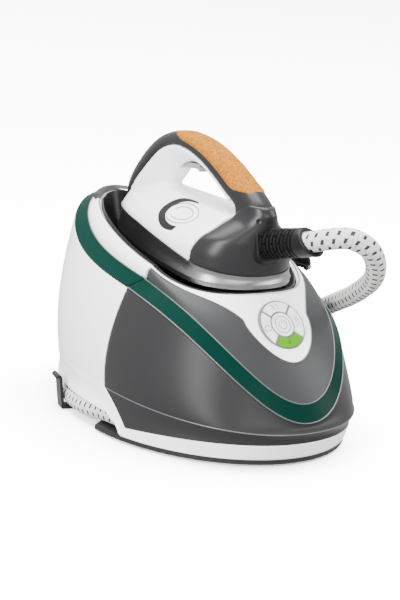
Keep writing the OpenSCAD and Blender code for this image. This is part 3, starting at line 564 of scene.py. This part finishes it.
# ---------- base skins ----------
# Each ring of the base: middle y, half width, reach to the front and to the back, and roundness, in mm.
# Its height is a cubic of how far back the point lies, from -1 at the front to 1 at the back.
SHELL_WALL = 2.4
SEAM = 0.35
GROUND = (-15, 110, 142, 172, 2.0)
LEDGE = (-16, 103, 151, 177, 2.2)
BELLY = (-13, 106, 147, 183.8, 2.25)
BAND_LOW = (-19, 87, 142, 185.5, 2.1)
BAND_TOP = (-27, 76, 128, 181, 2.06)
BROW = (-27, 78, 106, 179, 1.95)
RIM = (-30, 71, 66, 179, 1.8)
GROUND_Z = (6, 0, 0, 0)
LEDGE_Z = (38, 6, -3, 0)
BELLY_Z = (75, 35, -10, 0)
BAND_LOW_Z = (122, 28, -17, 42)
BAND_TOP_Z = (130, 28, -16.5, 36.5)
BROW_Z = (139, 32, -5, 12)
RIM_Z = (141.4, 32, 10.7, -6.6)


def ring_point(ring, z, a, inset):
    """Point of a ring at angle a; z holds the terms of its height."""
    middle, half, forward, backward, roundness = ring
    c, s = wave(a)
    v = power_of(s, 2 / roundness)
    return Vector(((half - inset) * power_of(c, 2 / roundness),
                   middle + ((forward if v < 0 else backward) - inset) * v,
                   z[0] + z[1] * v + z[2] * v * v + z[3] * v ** 3))


def pulled(p, q, r, u):
    """Point of the curve from p to r that q pulls towards itself."""
    return (1 - u) ** 2 * p + 2 * u * (1 - u) * q + u * u * r


def skin(a, t, inset=0.0):
    """Point of the base skin at angle a and level t: 0 floor, 1 ledge, 2 and 3 band edges, 4 tray rim."""
    if t <= 1:
        return mix(ring_point(GROUND, GROUND_Z, a, inset), ring_point(LEDGE, LEDGE_Z, a, inset), t)
    if t <= 2:
        p = pulled(ring_point(LEDGE, LEDGE_Z, a, inset), ring_point(BELLY, BELLY_Z, a, inset),
                   ring_point(BAND_LOW, BAND_LOW_Z, a, inset), t - 1)
    elif t <= 3:
        p = mix(ring_point(BAND_LOW, BAND_LOW_Z, a, inset), ring_point(BAND_TOP, BAND_TOP_Z, a, inset), t - 2)
    else:
        p = pulled(ring_point(BAND_TOP, BAND_TOP_Z, a, inset), ring_point(BROW, BROW_Z, a, inset),
                   ring_point(RIM, RIM_Z, a, inset), t - 3)
    return p - Vector((0, 0, inset * min(1, (t - 1) / 2)))


def level_step(a, t, size):
    """How much the level changes over that many millimetres of skin."""
    return 0.04 * size / (skin(a, t + 0.02) - skin(a, t - 0.02)).length


SEAM_SLANT = 15
SKIRT_LEVEL = 0.24


def seam_angle(t):
    """Angle of the joint between the rear and front shells, which slants forward under the ledge."""
    return 180 + SEAM_SLANT * max(0, min(1, (1 - t) / (1 - SKIRT_LEVEL)))


def marked_angle(s, t):
    """Angle of marker s at level t; the markers 0 and 180 follow the joint between the shells."""
    if s < 180:
        return 90 + (s - 90) * (seam_angle(t) - 90) / 90
    return 270 + (s - 270) * (270 - seam_angle(t)) / 90


CHAMFER = 0.5
LEDGE_BELOW, LEDGE_ABOVE = 0.97, 1.03
BELOW_STEPS = 8


def levels(s, low, high, steps, ledge):
    """Levels of one column: a rounded edge at each end, and close rows about the ledge."""
    a = marked_angle(s, low)
    edge = min(level_step(a, low + 0.03, CHAMFER), (high - low) / 6)
    top = min(level_step(a, high - 0.03, CHAMFER), (high - low) / 6)
    inner_low, inner_high = low + edge, high - top
    if ledge and low < 0.9:
        above_steps = steps - BELOW_STEPS
        below = [mix(inner_low, LEDGE_BELOW, i / BELOW_STEPS) for i in range(BELOW_STEPS + 1)]
        above = [mix(LEDGE_ABOVE, inner_high, i / above_steps) for i in range(above_steps + 1)]
        middle = below + [1.0] + above
    else:
        middle = [mix(inner_low, inner_high, i / steps) for i in range(steps + 1)]
    return [low] + middle + [high]


HOLLOW = 1.3


def hollow_at(t, low):
    """How deep the shell is hollowed at level t, under the ledge."""
    if low >= 0.9 or t >= LEDGE_BELOW:
        return 0.0
    return HOLLOW * math.sin(math.pi * (t - low) / (LEDGE_BELOW - low))


def patch(name, columns, steps, body, slot, *nodes, closed=False, proud=0.0, ledge=False, rise=0.0):
    """A shell over the listed columns (angle marker, low level, high level)."""
    outer, inner = [], []
    last = len(columns) - 1
    for i, (s, low, high) in enumerate(columns):
        rows = levels(s, low, high, steps, ledge)
        ends = not closed and i in (0, last)
        out_column, in_column = [], []
        for j, t in enumerate(rows):
            dip = CHAMFER if ends or j in (0, len(rows) - 1) else 0.0
            if ledge:
                dip += hollow_at(t, low)
            a = marked_angle(s, t)
            lift = Vector((0, 0, rise))
            out_column.append(skin(a, t, dip - proud) + lift)
            in_column.append(skin(a, t, SHELL_WALL) + lift)
        outer.append(out_column)
        inner.append(in_column)
    return settle(wall(name, outer, inner, closed), body, slot, *nodes)


EDGE_STEP = 0.35


def spread(start, end, count):
    """Markers from start to end, with one more close to each end for the rounded edge."""
    inside = [mix(start + EDGE_STEP, end - EDGE_STEP, i / count) for i in range(count + 1)]
    return [start] + inside + [end]


ARCH_LEVEL = 0.43
ARCH_START, ARCH_RISE = 58, 12
ARCH_END, ARCH_FALL = 179, 5


def arch(s):
    """Level of the rear shell's lower edge, which arches over the stored hose."""
    return ARCH_LEVEL * max(0, min(1, (s - ARCH_START) / ARCH_RISE, (ARCH_END - s) / ARCH_FALL))


def white_top(s):
    """Level of the white skirt's upper edge, which is highest at the nose."""
    return 0.12 + 0.47 * abs(wave(marked_angle(s, SKIRT_LEVEL))[1])


def seam_level(s, t):
    return level_step(s, t, SEAM)


LOBE_R = 33
LOBE_LEVEL = 0.3
LOBE_SPAN = 73
PANEL_DEPTH = 98
FLARE = 30
STRIP = 0.13
COLLAR_HALF = 13


def lobe(a):
    """How many levels the white deck reaches down from the tray's rim at angle a."""
    x = abs(LOBE_SPAN * wave(a)[0])
    if x < LOBE_R:
        return LOBE_LEVEL + math.sqrt(LOBE_R ** 2 - x * x) / PANEL_DEPTH
    return STRIP + (LOBE_LEVEL - STRIP) * max(0, 1 - (x - LOBE_R) / FLARE) ** 2.2


def deck_low(a):
    """Level of the deck's lower edge at angle a."""
    if a < 180:
        return 3 + seam_level(a, 3.02)
    s = max(0, 1 - min(a - 180, 360 - a) / 2)
    return 4 - max(lobe(a), (1 - seam_level(a, 3.02)) * s)


def front_markers():
    """Markers of the deck's front, close together where the lobe turns down."""
    edge = math.degrees(math.acos(LOBE_R / LOBE_SPAN))
    corners = [180 + edge, 360 - edge]
    marks = [180.2, 180.7, 181.2, 181.7, 182.2]
    s = 183.0
    while s < 357:
        marks.append(s)
        s += 0.25 if min(abs(s - c) for c in corners) < 1.5 else 1.0
    return marks + [357.2, 357.8, 358.3, 358.8, 359.3, 359.8]


def placed(point, tilt, turn=0):
    """The frame at a point in mm, tilted about x and then turned about z, in degrees."""
    tilted = Euler((math.radians(tilt), 0, math.radians(turn)))
    return Matrix.Translation(Vector(point) * MM) @ tilted.to_matrix().to_4x4()


DIAL_R = 21.4
DIAL_ROOM = 0.3
at_dial = placed((0, -117, 104.5), 53)


def ring_loop(radius, z, count=64):
    """A circle of points at height z."""
    return [(radius * wave(360 * k / count)[0], radius * wave(360 * k / count)[1], z) for k in range(count)]


BANDS = {"front_band": (180.2, 359.8, 150), "left_band": (90 + COLLAR_HALF, 179.8, 60),
         "right_band": (0.2, 90 - COLLAR_HALF, 60)}


def add_base_skins():
    """The outer mouldings of the base; gives the markers of the deck's front."""
    rear = [(s, arch(s), 2 - seam_level(s, 2)) for s in spread(0.01, 179.99, 150)]
    patch("rear_skin", rear, 22, "base", "white_shell", "rear_shell", ledge=True)
    skirt = [(s, 0, white_top(s)) for s in spread(180.2, 359.8, 120)]
    patch("skirt_skin", skirt, 5, "base", "white_shell", "front_skirt")
    lower = [(s, white_top(s) + level_step(s, 0.5, SEAM), 2 - seam_level(s, 2))
             for s in spread(180.25, 359.75, 140)]
    patch("front_skin", lower, 26, "base", "grey_shell", "front_shell", ledge=True)
    for name, marks in BANDS.items():
        patch(name + "_skin", [(s, 2, 3) for s in spread(*marks)], 6, "base", "green_band", name)
    front = front_markers()
    add_deck(front)
    panel = [(s, 3 + seam_level(s, 3.02),
              max(3 + 2.2 * seam_level(s, 3.02), deck_low(s) - level_step(s, 3.5, SEAM)))
             for s in front if 182 < s < 358]
    patch("panel_skin", panel, 10, "base", "grey_panel", "upper_front_panel")
    patch("collar_skin", [(s, 2, 3.66) for s in spread(78, 102, 16)], 8, "base", "grey_panel", "nose_collar")
    patch("visor_skin", [(s, 3.4, 4) for s in spread(63, 117, 24)], 5, "base", "grey_panel", "nose_visor",
          proud=0.6, rise=3.6)
    return front


def add_deck(front):
    """The white collar round the tray, lower at the nose, with a hole for the dial."""
    back = [(s, deck_low(s), 4) for s in [2 * i for i in range(38)] + [77]]
    collar = [(s, 3.7, 4) for s in (77.3, 81, 85.5, 90, 94.5, 99, 102.7)]
    back += collar + [(s, deck_low(s), 4) for s in [103] + [106 + 2 * i for i in range(37)]]
    columns = back + [(s, deck_low(s), 4) for s in front]
    deck = patch("deck_skin", columns, 12, None, "white_shell", closed=True)
    hole = loft("dial_hole", [ring_loop(DIAL_R + DIAL_ROOM, z) for z in (-14, 16)])
    hole.data.transform(at_dial)
    cut(deck, hole)
    settle(deck, "base", "white_shell", "deck_panel")


def add_piping_and_painted_highlight(front):
    """Thin lines along the edges of the bands, the deck and the tray's rim, and a thin pale bead on the
    ledge's crease whose paler grey is a painted highlight.
    """
    def line(name, markers, level, radius, lift=0.15):
        path = [skin(marked_angle(s, level(s)), level(s), -lift) * MM for s in markers]
        settle(tube(name, path, radius * MM), "base", "piping_grey")

    marks = [180.4 + i * 1.4 for i in range(129)]
    line("band_piping_low", marks, lambda s: 2.0, 0.55)
    line("band_piping_high", marks, lambda s: 3.0, 0.5)
    line("side_piping_left", [104 + i * 1.5 for i in range(51)], lambda s: 3.0, 0.45)
    line("side_piping_right", [1 + i * 1.5 for i in range(51)], lambda s: 3.0, 0.45)
    # Ledge: a raised bead in paler grey along the crease; its paler grey is a painted highlight of the
    # crease.
    line("ledge_painted_highlight", [181 + i * 1.4 for i in range(128)], lambda s: 1.0, 0.45, 0.0)
    line("deck_piping", [s for s in front if 183 < s < 357],
         lambda s: deck_low(s) - level_step(s, 3.5, SEAM / 2), 0.45)
    rim = [skin(s, 3.985, 0.4) * MM + Vector((0, 0, 0.3 * MM)) for s in range(0, 360, 3)]
    settle(tube("rim_piping", rim, 0.5 * MM, closed=True), "base", "piping_grey")


# ---------- tray ----------
TRAY_FLOOR = (-16, 56, 64, 140, 1.9)
TRAY_FLOOR_Z = (122, 7, 0, 0)


def tray_loop(drop, u, wide):
    """A loop of the tray, u of the way from its rim to its floor."""
    out = []
    for a in range(0, 360, 3):
        p = ring_point(RIM, RIM_Z, a, wide)
        q = ring_point(TRAY_FLOOR, TRAY_FLOOR_Z, a, wide - 1)
        bend = Vector(((p.x + q.x) / 2, (p.y + q.y) / 2, q.z))
        out.append(pulled(p, bend, q, u) - Vector((0, 0, drop)))
    return out


def add_tray():
    """The black bowl that the iron stands in."""
    steps = 12
    outer = [tray_loop(2, i / steps, SHELL_WALL + 0.8) for i in range(steps, -1, -1)]
    inner = [tray_loop(0, i / steps, SHELL_WALL + 2.2) for i in range(steps + 1)]
    settle(loft("tray_skin", outer + inner), "base", "tray_black", "iron_tray")


# ---------- dial icons ----------
DIAL_TURN = 6


def on_dial(name, points, body, height, slot="outline_grey", radius=0.28, closed=False):
    """A raised line on the dial; points are (x, y) in mm on its face."""
    turned = Matrix.Rotation(math.radians(DIAL_TURN), 4, "Z")
    path = [at_dial @ turned @ (Vector((x, y, height)) * MM) for x, y in points]
    settle(tube(name, path, radius * MM, 6, closed), body, slot)


def arc(cx, cy, r, start, end, count=20):
    """Points of an arc about (cx, cy)."""
    marks = [mix(start, end, i / count) for i in range(count + 1)]
    return [(cx + r * wave(a)[0], cy + r * wave(a)[1]) for a in marks]


KEY_FACE, HUB_FACE = 0.45, 0.65


def add_icons():
    """Generic signs on the keys: power, steam, boost, water, a bar and a leaf."""
    mid = 15.8
    on_dial("icon_power_ring", arc(0, 0, 3.8, 120, 420, 28), "power_key", HUB_FACE)
    on_dial("icon_power_bar", [(0, 1.2), (0, 4.6)], "power_key", HUB_FACE)
    on_dial("power_outline", arc(0, 0, 7.2, 0, 345, 40), "power_key", HUB_FACE, closed=True)
    cloud = arc(-mid - 2, -0.8, 1.5, 100, 270, 10) + arc(-mid + 2, -0.8, 1.5, -90, 80, 10)
    cloud += arc(-mid, 0.6, 1.9, 30, 150, 12)
    on_dial("icon_cloud", cloud, "steam_key", KEY_FACE, closed=True)
    for k in (-1, 1):
        chevron = [(2.2 * k - 1.3, mid - 2), (2.2 * k + 1.3, mid), (2.2 * k - 1.3, mid + 2)]
        on_dial("icon_boost_" + ("left" if k < 0 else "right"), chevron, "turbo_key", KEY_FACE)
    drop = [(mid - 0.2, 4.4)] + arc(mid - 0.2, 1.2, 1.3, 150, 390, 14)
    on_dial("icon_drop", drop, "base", KEY_FACE, closed=True)
    on_dial("icon_bar", [(mid - 1.5, -3.6), (mid + 1.5, -1.4)], "base", KEY_FACE)
    leaf = arc(0.9, -mid - 0.9, 2.7, 90, 180, 10) + arc(-1.8, 1.8 - mid, 2.7, -90, 0, 10)
    on_dial("icon_leaf", leaf, "eco_key", KEY_FACE, slot="handle_grey", radius=0.18, closed=True)


# ---------- iron ----------
IRON_Z = 135.6
IRON_TILT = 5.14
iron_frame = Matrix.Translation((0, 0, IRON_Z)) @ Matrix.Rotation(math.radians(IRON_TILT), 4, "X")
# The sole's widest place, half width, reach to the heel and to the nose, and their roundness.
SOLE = (-48, 50, 41.5, 181, 2.1, 1.7)
NOSE_THINNING = 1.8
# Each row of the body and the heel: height, seam y, half width, reach and roundness.
BODY = [(19.4, -46, 48, 174, 1.75), (26, -47, 47, 173, 1.8), (32, -49, 44.5, 171, 1.8),
        (37, -51, 41, 168, 1.85), (42, -54, 35, 163, 1.9), (48, -56, 27.5, 156, 2),
        (52, -58, 23, 150, 2.1), (55, -59, 19.5, 145, 2.2)]
HEEL = [(19.4, -46, 48, 41.5, 2.1), (26, -47, 47, 40.5, 2.1), (32, -49, 44.5, 38.5, 2.1),
        (37, -51, 41, 36.5, 2.15), (42, -54, 34.5, 33.5, 2.2), (48, -56, 26, 32, 2.3),
        (52, -58, 20.5, 30.5, 2.3), (56, -59.5, 17, 29, 2.3), (60.9, -61, 14, 28, 2.3)]
# Each station of the handle from the nose back: (y, z) of its top, of its middle and of its underside.
HANDLE = [(119, 183, 112, 177, 56, 176), (111, 195, 104, 187, 50, 188), (99, 209.5, 91, 199, 46, 197),
          (82, 226.5, 74, 214, 38, 205.5), (62, 239, 57, 226.5, 29, 214.5), (38, 245.3, 37, 233, 15, 219.8),
          (16, 244.6, 16, 231.5, 0, 219.5), (-9, 239, -7, 224, -12, 216.5),
          (-36, 228, -27, 213.5, -25, 209.5), (-58, 215.5, -43, 203.5, -39, 200.5),
          (-75, 204.5, -54, 197.2, -48, 194), (-86, 196, -60, 192.6, -52, 190),
          (-90, 189, -61, 189.5, -54, 187), (-93, 183, -62, 183.5, -54, 181)]
HALVES = [8, 12] + [14] * 12
HANDLE_FINE = 5
CORK_FIRST, CORK_LAST = 5, 10


def stretched(rows, fine):
    """Rows of numbers with fine smooth steps between each pair."""
    last = len(rows) - 1
    out = []
    for i in range(last):
        quad = [rows[max(0, i - 1)], rows[i], rows[i + 1], rows[min(last, i + 2)]]
        for k in range(fine):
            u = k / fine
            out.append([0.5 * (2 * b + (c - a) * u + (2 * a - 5 * b + 4 * c - d) * u * u
                               + (3 * b - a - 3 * c + d) * u ** 3) for a, b, c, d in zip(*quad)])
    return out + [list(rows[last])]


def sole_outline(inset):
    """The sole's outline, drawn in by inset and a little more at the nose."""
    out = []
    for a in range(0, 360, 3):
        nose = a <= 180
        e = 2 / (SOLE[5] if nose else SOLE[4])
        c, s = wave(a)
        reach = SOLE[3] - NOSE_THINNING * inset if nose else SOLE[2] - inset
        out.append(((SOLE[1] - inset) * power_of(c, e), SOLE[0] + reach * power_of(s, e)))
    return out


def skirt_top(y):
    """Height of the metal skirt's upper edge, which rises towards the nose."""
    u = max(0, min(1, (y + 93) / 150))
    return mix(10, 24, u * (3 - u) / 2)


SKIRT_GAP = 0.7


def half_ring(row, heel, follows, inset=0.0):
    """Half a loop of the body or the heel; it follows the skirt's edge or stays at the row's height."""
    height, seam_y, half, reach, roundness = row
    e = 2 / roundness
    out = []
    for i in range(31):
        c, s = wave((180 if heel else 0) + i * 6)
        y = seam_y - (SEAM if heel else 0) + (reach - inset) * power_of(s, e)
        z = skirt_top(y) + SKIRT_GAP if follows else height
        out.append(iron_frame @ Vector(((half - inset) * power_of(c, e), y, z)))
    return out


TUCK = 4


def moulding_loops(rows, heel):
    """Loops of the body or the heel, from a foot tucked behind the skirt to its top."""
    rows = stretched(rows, 4)
    tucked = [p - Vector((0, 0, TUCK)) for p in half_ring(rows[0], heel, True, 2.5)]
    return [tucked, half_ring(rows[0], heel, True)] + [half_ring(r, heel, False) for r in rows[3:]]


def side_loop(p, q, half, start, end, power, count=24):
    """An arc across the handle that rises from p to q, both (y, z)."""
    e = 2 / power
    out = []
    for i in range(count + 1):
        c, s = wave(mix(start, end, i / count))
        rise = abs(s) ** e
        out.append(Vector((half * power_of(c, e), mix(p[0], q[0], rise), mix(p[1], q[1], rise))))
    return out


def handle_loops(first, last, low_side, foot=0.0, head=1.0, half_gain=0.0, power=2.6):
    """Loops of one side of the handle between two stations, from foot to head of its height."""
    rows = stretched([station + (half,) for station, half in zip(HANDLE, HALVES)], HANDLE_FINE)
    rows = rows[first * HANDLE_FINE:last * HANDLE_FINE + 1]
    start, end_angle = (180, 360) if low_side else (0, 180)
    loops = []
    for row in rows:
        middle = (row[2], row[3])
        end = (row[4], row[5]) if low_side else (row[0], row[1])
        p = tuple(mix(m, e, foot) for m, e in zip(middle, end))
        q = tuple(mix(m, e, head) for m, e in zip(middle, end))
        loops.append(side_loop(p, q, row[6] + half_gain, start, end_angle, power))
    return loops


SKIN_VOXEL = 1.3
CORK_VOXEL = 1.2
HANDLE_POWER = 2.6
TRIGGER_POCKET = [(-6.5, -4), (-6.5, 32), (6.5, 32), (6.5, -4)]
TRIGGER_POCKET_Z = (205, 224)


def add_iron_skins():
    """The outer mouldings of the iron; gives the white one, which the inlay lies on."""
    core = handle_loops(0, CORK_LAST, True, 0.02, power=3)
    body = fused("iron_skin", [moulding_loops(BODY, False), core], SKIN_VOXEL, 14)
    cut(body, loft("trigger_pocket", [[(x, y, z) for x, y in TRIGGER_POCKET] for z in TRIGGER_POCKET_Z]))
    settle(body, "iron", "white_shell", "iron_body", "handle_core")
    neck = [(67, -61, 13, 24, 2.3)]
    heel = fused("heel_skin", [moulding_loops(HEEL + neck, True)], SKIN_VOXEL, 8)
    settle(heel, "iron", "handle_grey", "heel_cover")
    handle = fused("handle_skin", [handle_loops(0, len(HANDLE) - 1, False)], SKIN_VOXEL, 5)
    settle(handle, "iron", "handle_grey", "handle_shell")
    settle(fused("cork_skin", [cork_loops()], CORK_VOXEL, 3), "iron", "cork", "cork_grip")
    add_skirt()
    add_painted_hole_shade(heel)
    return body


CORK_FOOT, CORK_END_FOOT = 0.36, 0.9
CORK_PROUD = 0.15


def cork_loops():
    """The cork's loops: its foot climbs towards both ends, so that they are rounded."""
    last = (CORK_LAST - CORK_FIRST) * HANDLE_FINE
    half = HALVES[CORK_FIRST]
    loops = []
    for i in range(last + 1):
        end = max(0, 1 - min(i, last - i) / 5)
        foot = mix(CORK_FOOT, CORK_END_FOOT, end ** 2)
        gain = CORK_PROUD + half * (1 - foot ** HANDLE_POWER) ** (1 / HANDLE_POWER) - half
        loops.append(handle_loops(CORK_FIRST, CORK_LAST, False, foot, 1.0, gain, 2.4)[i])
    return loops


def add_painted_hole_shade(heel):
    """A black disc set into the skin for the small blind hole above the boot, found from the heel's left
    rear; its black is painted shade of the hole.
    """
    tree = BVHTree.FromObject(heel, bpy.context.evaluated_depsgraph_get())
    start = Vector((-40, -120, 184)) * MM
    hit, normal, _, _ = tree.ray_cast(start, Vector((0.7, 0.7, 0)).normalized())
    place = Matrix.Translation(hit) @ normal.to_track_quat("Z", "Y").to_matrix().to_4x4()
    profile = [(0.05, -1.2), (2.3, -1.2), (2.5, 0.15), (2.1, 0.2), (1.9, 0.1), (0.05, 0.1)]
    # Painted shade: a black disc stands where the inside of the hole lies in shade.
    settle(lathe("painted_hole_shade", profile, place, 32), "iron", "tray_black")


def add_skirt():
    """The brushed metal skirt, slightly hollow in its height."""
    steps = 8
    outer, inner = [], []
    rims = [sole_outline(1.5 * i / steps + 1.0 * math.sin(math.pi * i / steps)) for i in range(steps + 1)]
    thick = [sole_outline(1.5 * i / steps + 2.2) for i in range(steps + 1)]
    for k in range(len(rims[0])):
        top = skirt_top(rims[0][k][1])
        heights = [mix(4.1, top, i / steps) for i in range(steps + 1)]
        outer.append([iron_frame @ Vector((*rims[i][k], heights[i])) for i in range(steps + 1)])
        inner.append([iron_frame @ Vector((*thick[i][k], heights[i])) for i in range(steps + 1)])
    settle(wall("skirt_metal", outer, inner, True), "iron", "sole_metal", "sole_skirt")


at_boot = placed((1, -82, 164), 79, 6)
BOOT_LENGTH = 44
BOOT_FOOT = 9
BOOT_BORE = 8.9
RIBS = 9


def boot_shape(r, z, turn):
    """Ribs stand up between the grooves, each broken by short slots that alternate from rib to rib."""
    place = (z - BOOT_FOOT) / (BOOT_LENGTH - BOOT_FOOT) * RIBS
    if r < 9 or z < BOOT_FOOT or place >= RIBS:
        return r, z
    half_turn = 30 if int(place) % 2 else 0
    slot = abs((turn + half_turn) % 60 - 30) < 5
    ridge = 0.25 < place % 1 < 0.85 and not slot
    return (13.2 - 0.03 * z) if ridge else 10.6, z


PLATE_R = 16


def bezel_shape(r, z, turn):
    """An upright plate with rounded corners round the boot's foot."""
    if r < 13:
        return r, z
    c, s = wave(turn)
    edge = ((abs(c) / 14) ** 4 + (abs(s) / 15.8) ** 4) ** -0.25
    return edge - (PLATE_R - r), z


COLLAR_FOOT = BOOT_LENGTH + 0.3
COLLAR_SLANT = 0.55


def collar_shape(r, z, turn):
    """The collar's mouth is cut at a slant, shorter on top."""
    return r, z if z < COLLAR_FOOT + 5 else z - COLLAR_SLANT * r * wave(turn)[1]


def add_boot():
    """The ribbed boot, its collar and the plate round its foot."""
    heights = [i * 0.45 for i in range(int(BOOT_LENGTH / 0.45) + 1)]
    profile = [(12.3 if z < BOOT_FOOT else 10.6, z) for z in heights]
    profile += [(BOOT_BORE, heights[-1]), (BOOT_BORE, 0)]
    settle(lathe("boot_skin", profile, at_boot, 72, boot_shape), "iron", "boot_rubber", "hose_boot")
    inside = BOOT_BORE + 0.5
    section = [(inside, 0), (11.4, 0), (12, 0.8), (12, 11.5), (11.3, 12.4), (inside, 12.4)]
    ring = [(r, COLLAR_FOOT + z) for r, z in section]
    settle(lathe("collar_skin_hose", ring, at_boot, 64, collar_shape), "iron", "boot_rubber", "hose_collar")
    bezel = [(12.5, 4.5), (PLATE_R, 4.5), (PLATE_R, 8.3), (PLATE_R - 1.1, 9.4), (12.5, 9.4)]
    plate = lathe("bezel_skin", bezel, at_boot, 72, bezel_shape)
    settle(plate, "iron", node_slot["boot_frame"], "boot_frame")


INLAY_AT = (-2, -30)


def add_inlay(body):
    """A plain oval inlay on the iron's left side: two thin open rings with a dark crescent before them."""
    tree = BVHTree.FromObject(body, bpy.context.evaluated_depsgraph_get())

    def on_skin(y, x, lift):
        start = (iron_frame @ Vector((x, y, 90))) * MM
        hit, normal, _, _ = tree.ray_cast(start, Vector((0, 0, -1)))
        return hit + normal * lift * MM

    def oval(long, wide, a, shift=0.0):
        c, s = wave(a)
        return INLAY_AT[0] + shift + long * c, INLAY_AT[1] + wide * s

    for k, (long, wide) in enumerate(((21, 8.5), (14, 5.5))):
        path = [on_skin(*oval(long, wide, mix(20, 320, i / 40)), 0.1) for i in range(41)]
        settle(tube(f"inlay_ring_{k}", path, 0.4 * MM, 6), "iron", "outline_grey")
    outer, inner = [], []
    for i in range(33):
        a = mix(-100, 100, i / 32)
        edge, hollow = oval(31, 13, a), oval(25, 10.5, a, -4)
        row = [(mix(edge[0], hollow[0], j / 4), mix(edge[1], hollow[1], j / 4)) for j in range(5)]
        outer.append([on_skin(y, x, 0.2) / MM for y, x in row])
        inner.append([on_skin(y, x, -0.4) / MM for y, x in row])
    settle(wall("inlay_crescent", outer, inner, False), "iron", "black_plastic")


add_camera()
add_studio()
add_floor()
add_hose()
for node, solid in frame["nodes"].items():
    solid.data.materials.clear()
    solid.data.materials.append(finish_of(NODE_LOOK.get(node, node_slot[node])))
add_piping_and_painted_highlight(add_base_skins())
add_tray()
add_icons()
iron_skin = add_iron_skins()
add_boot()
add_inlay(iron_skin)
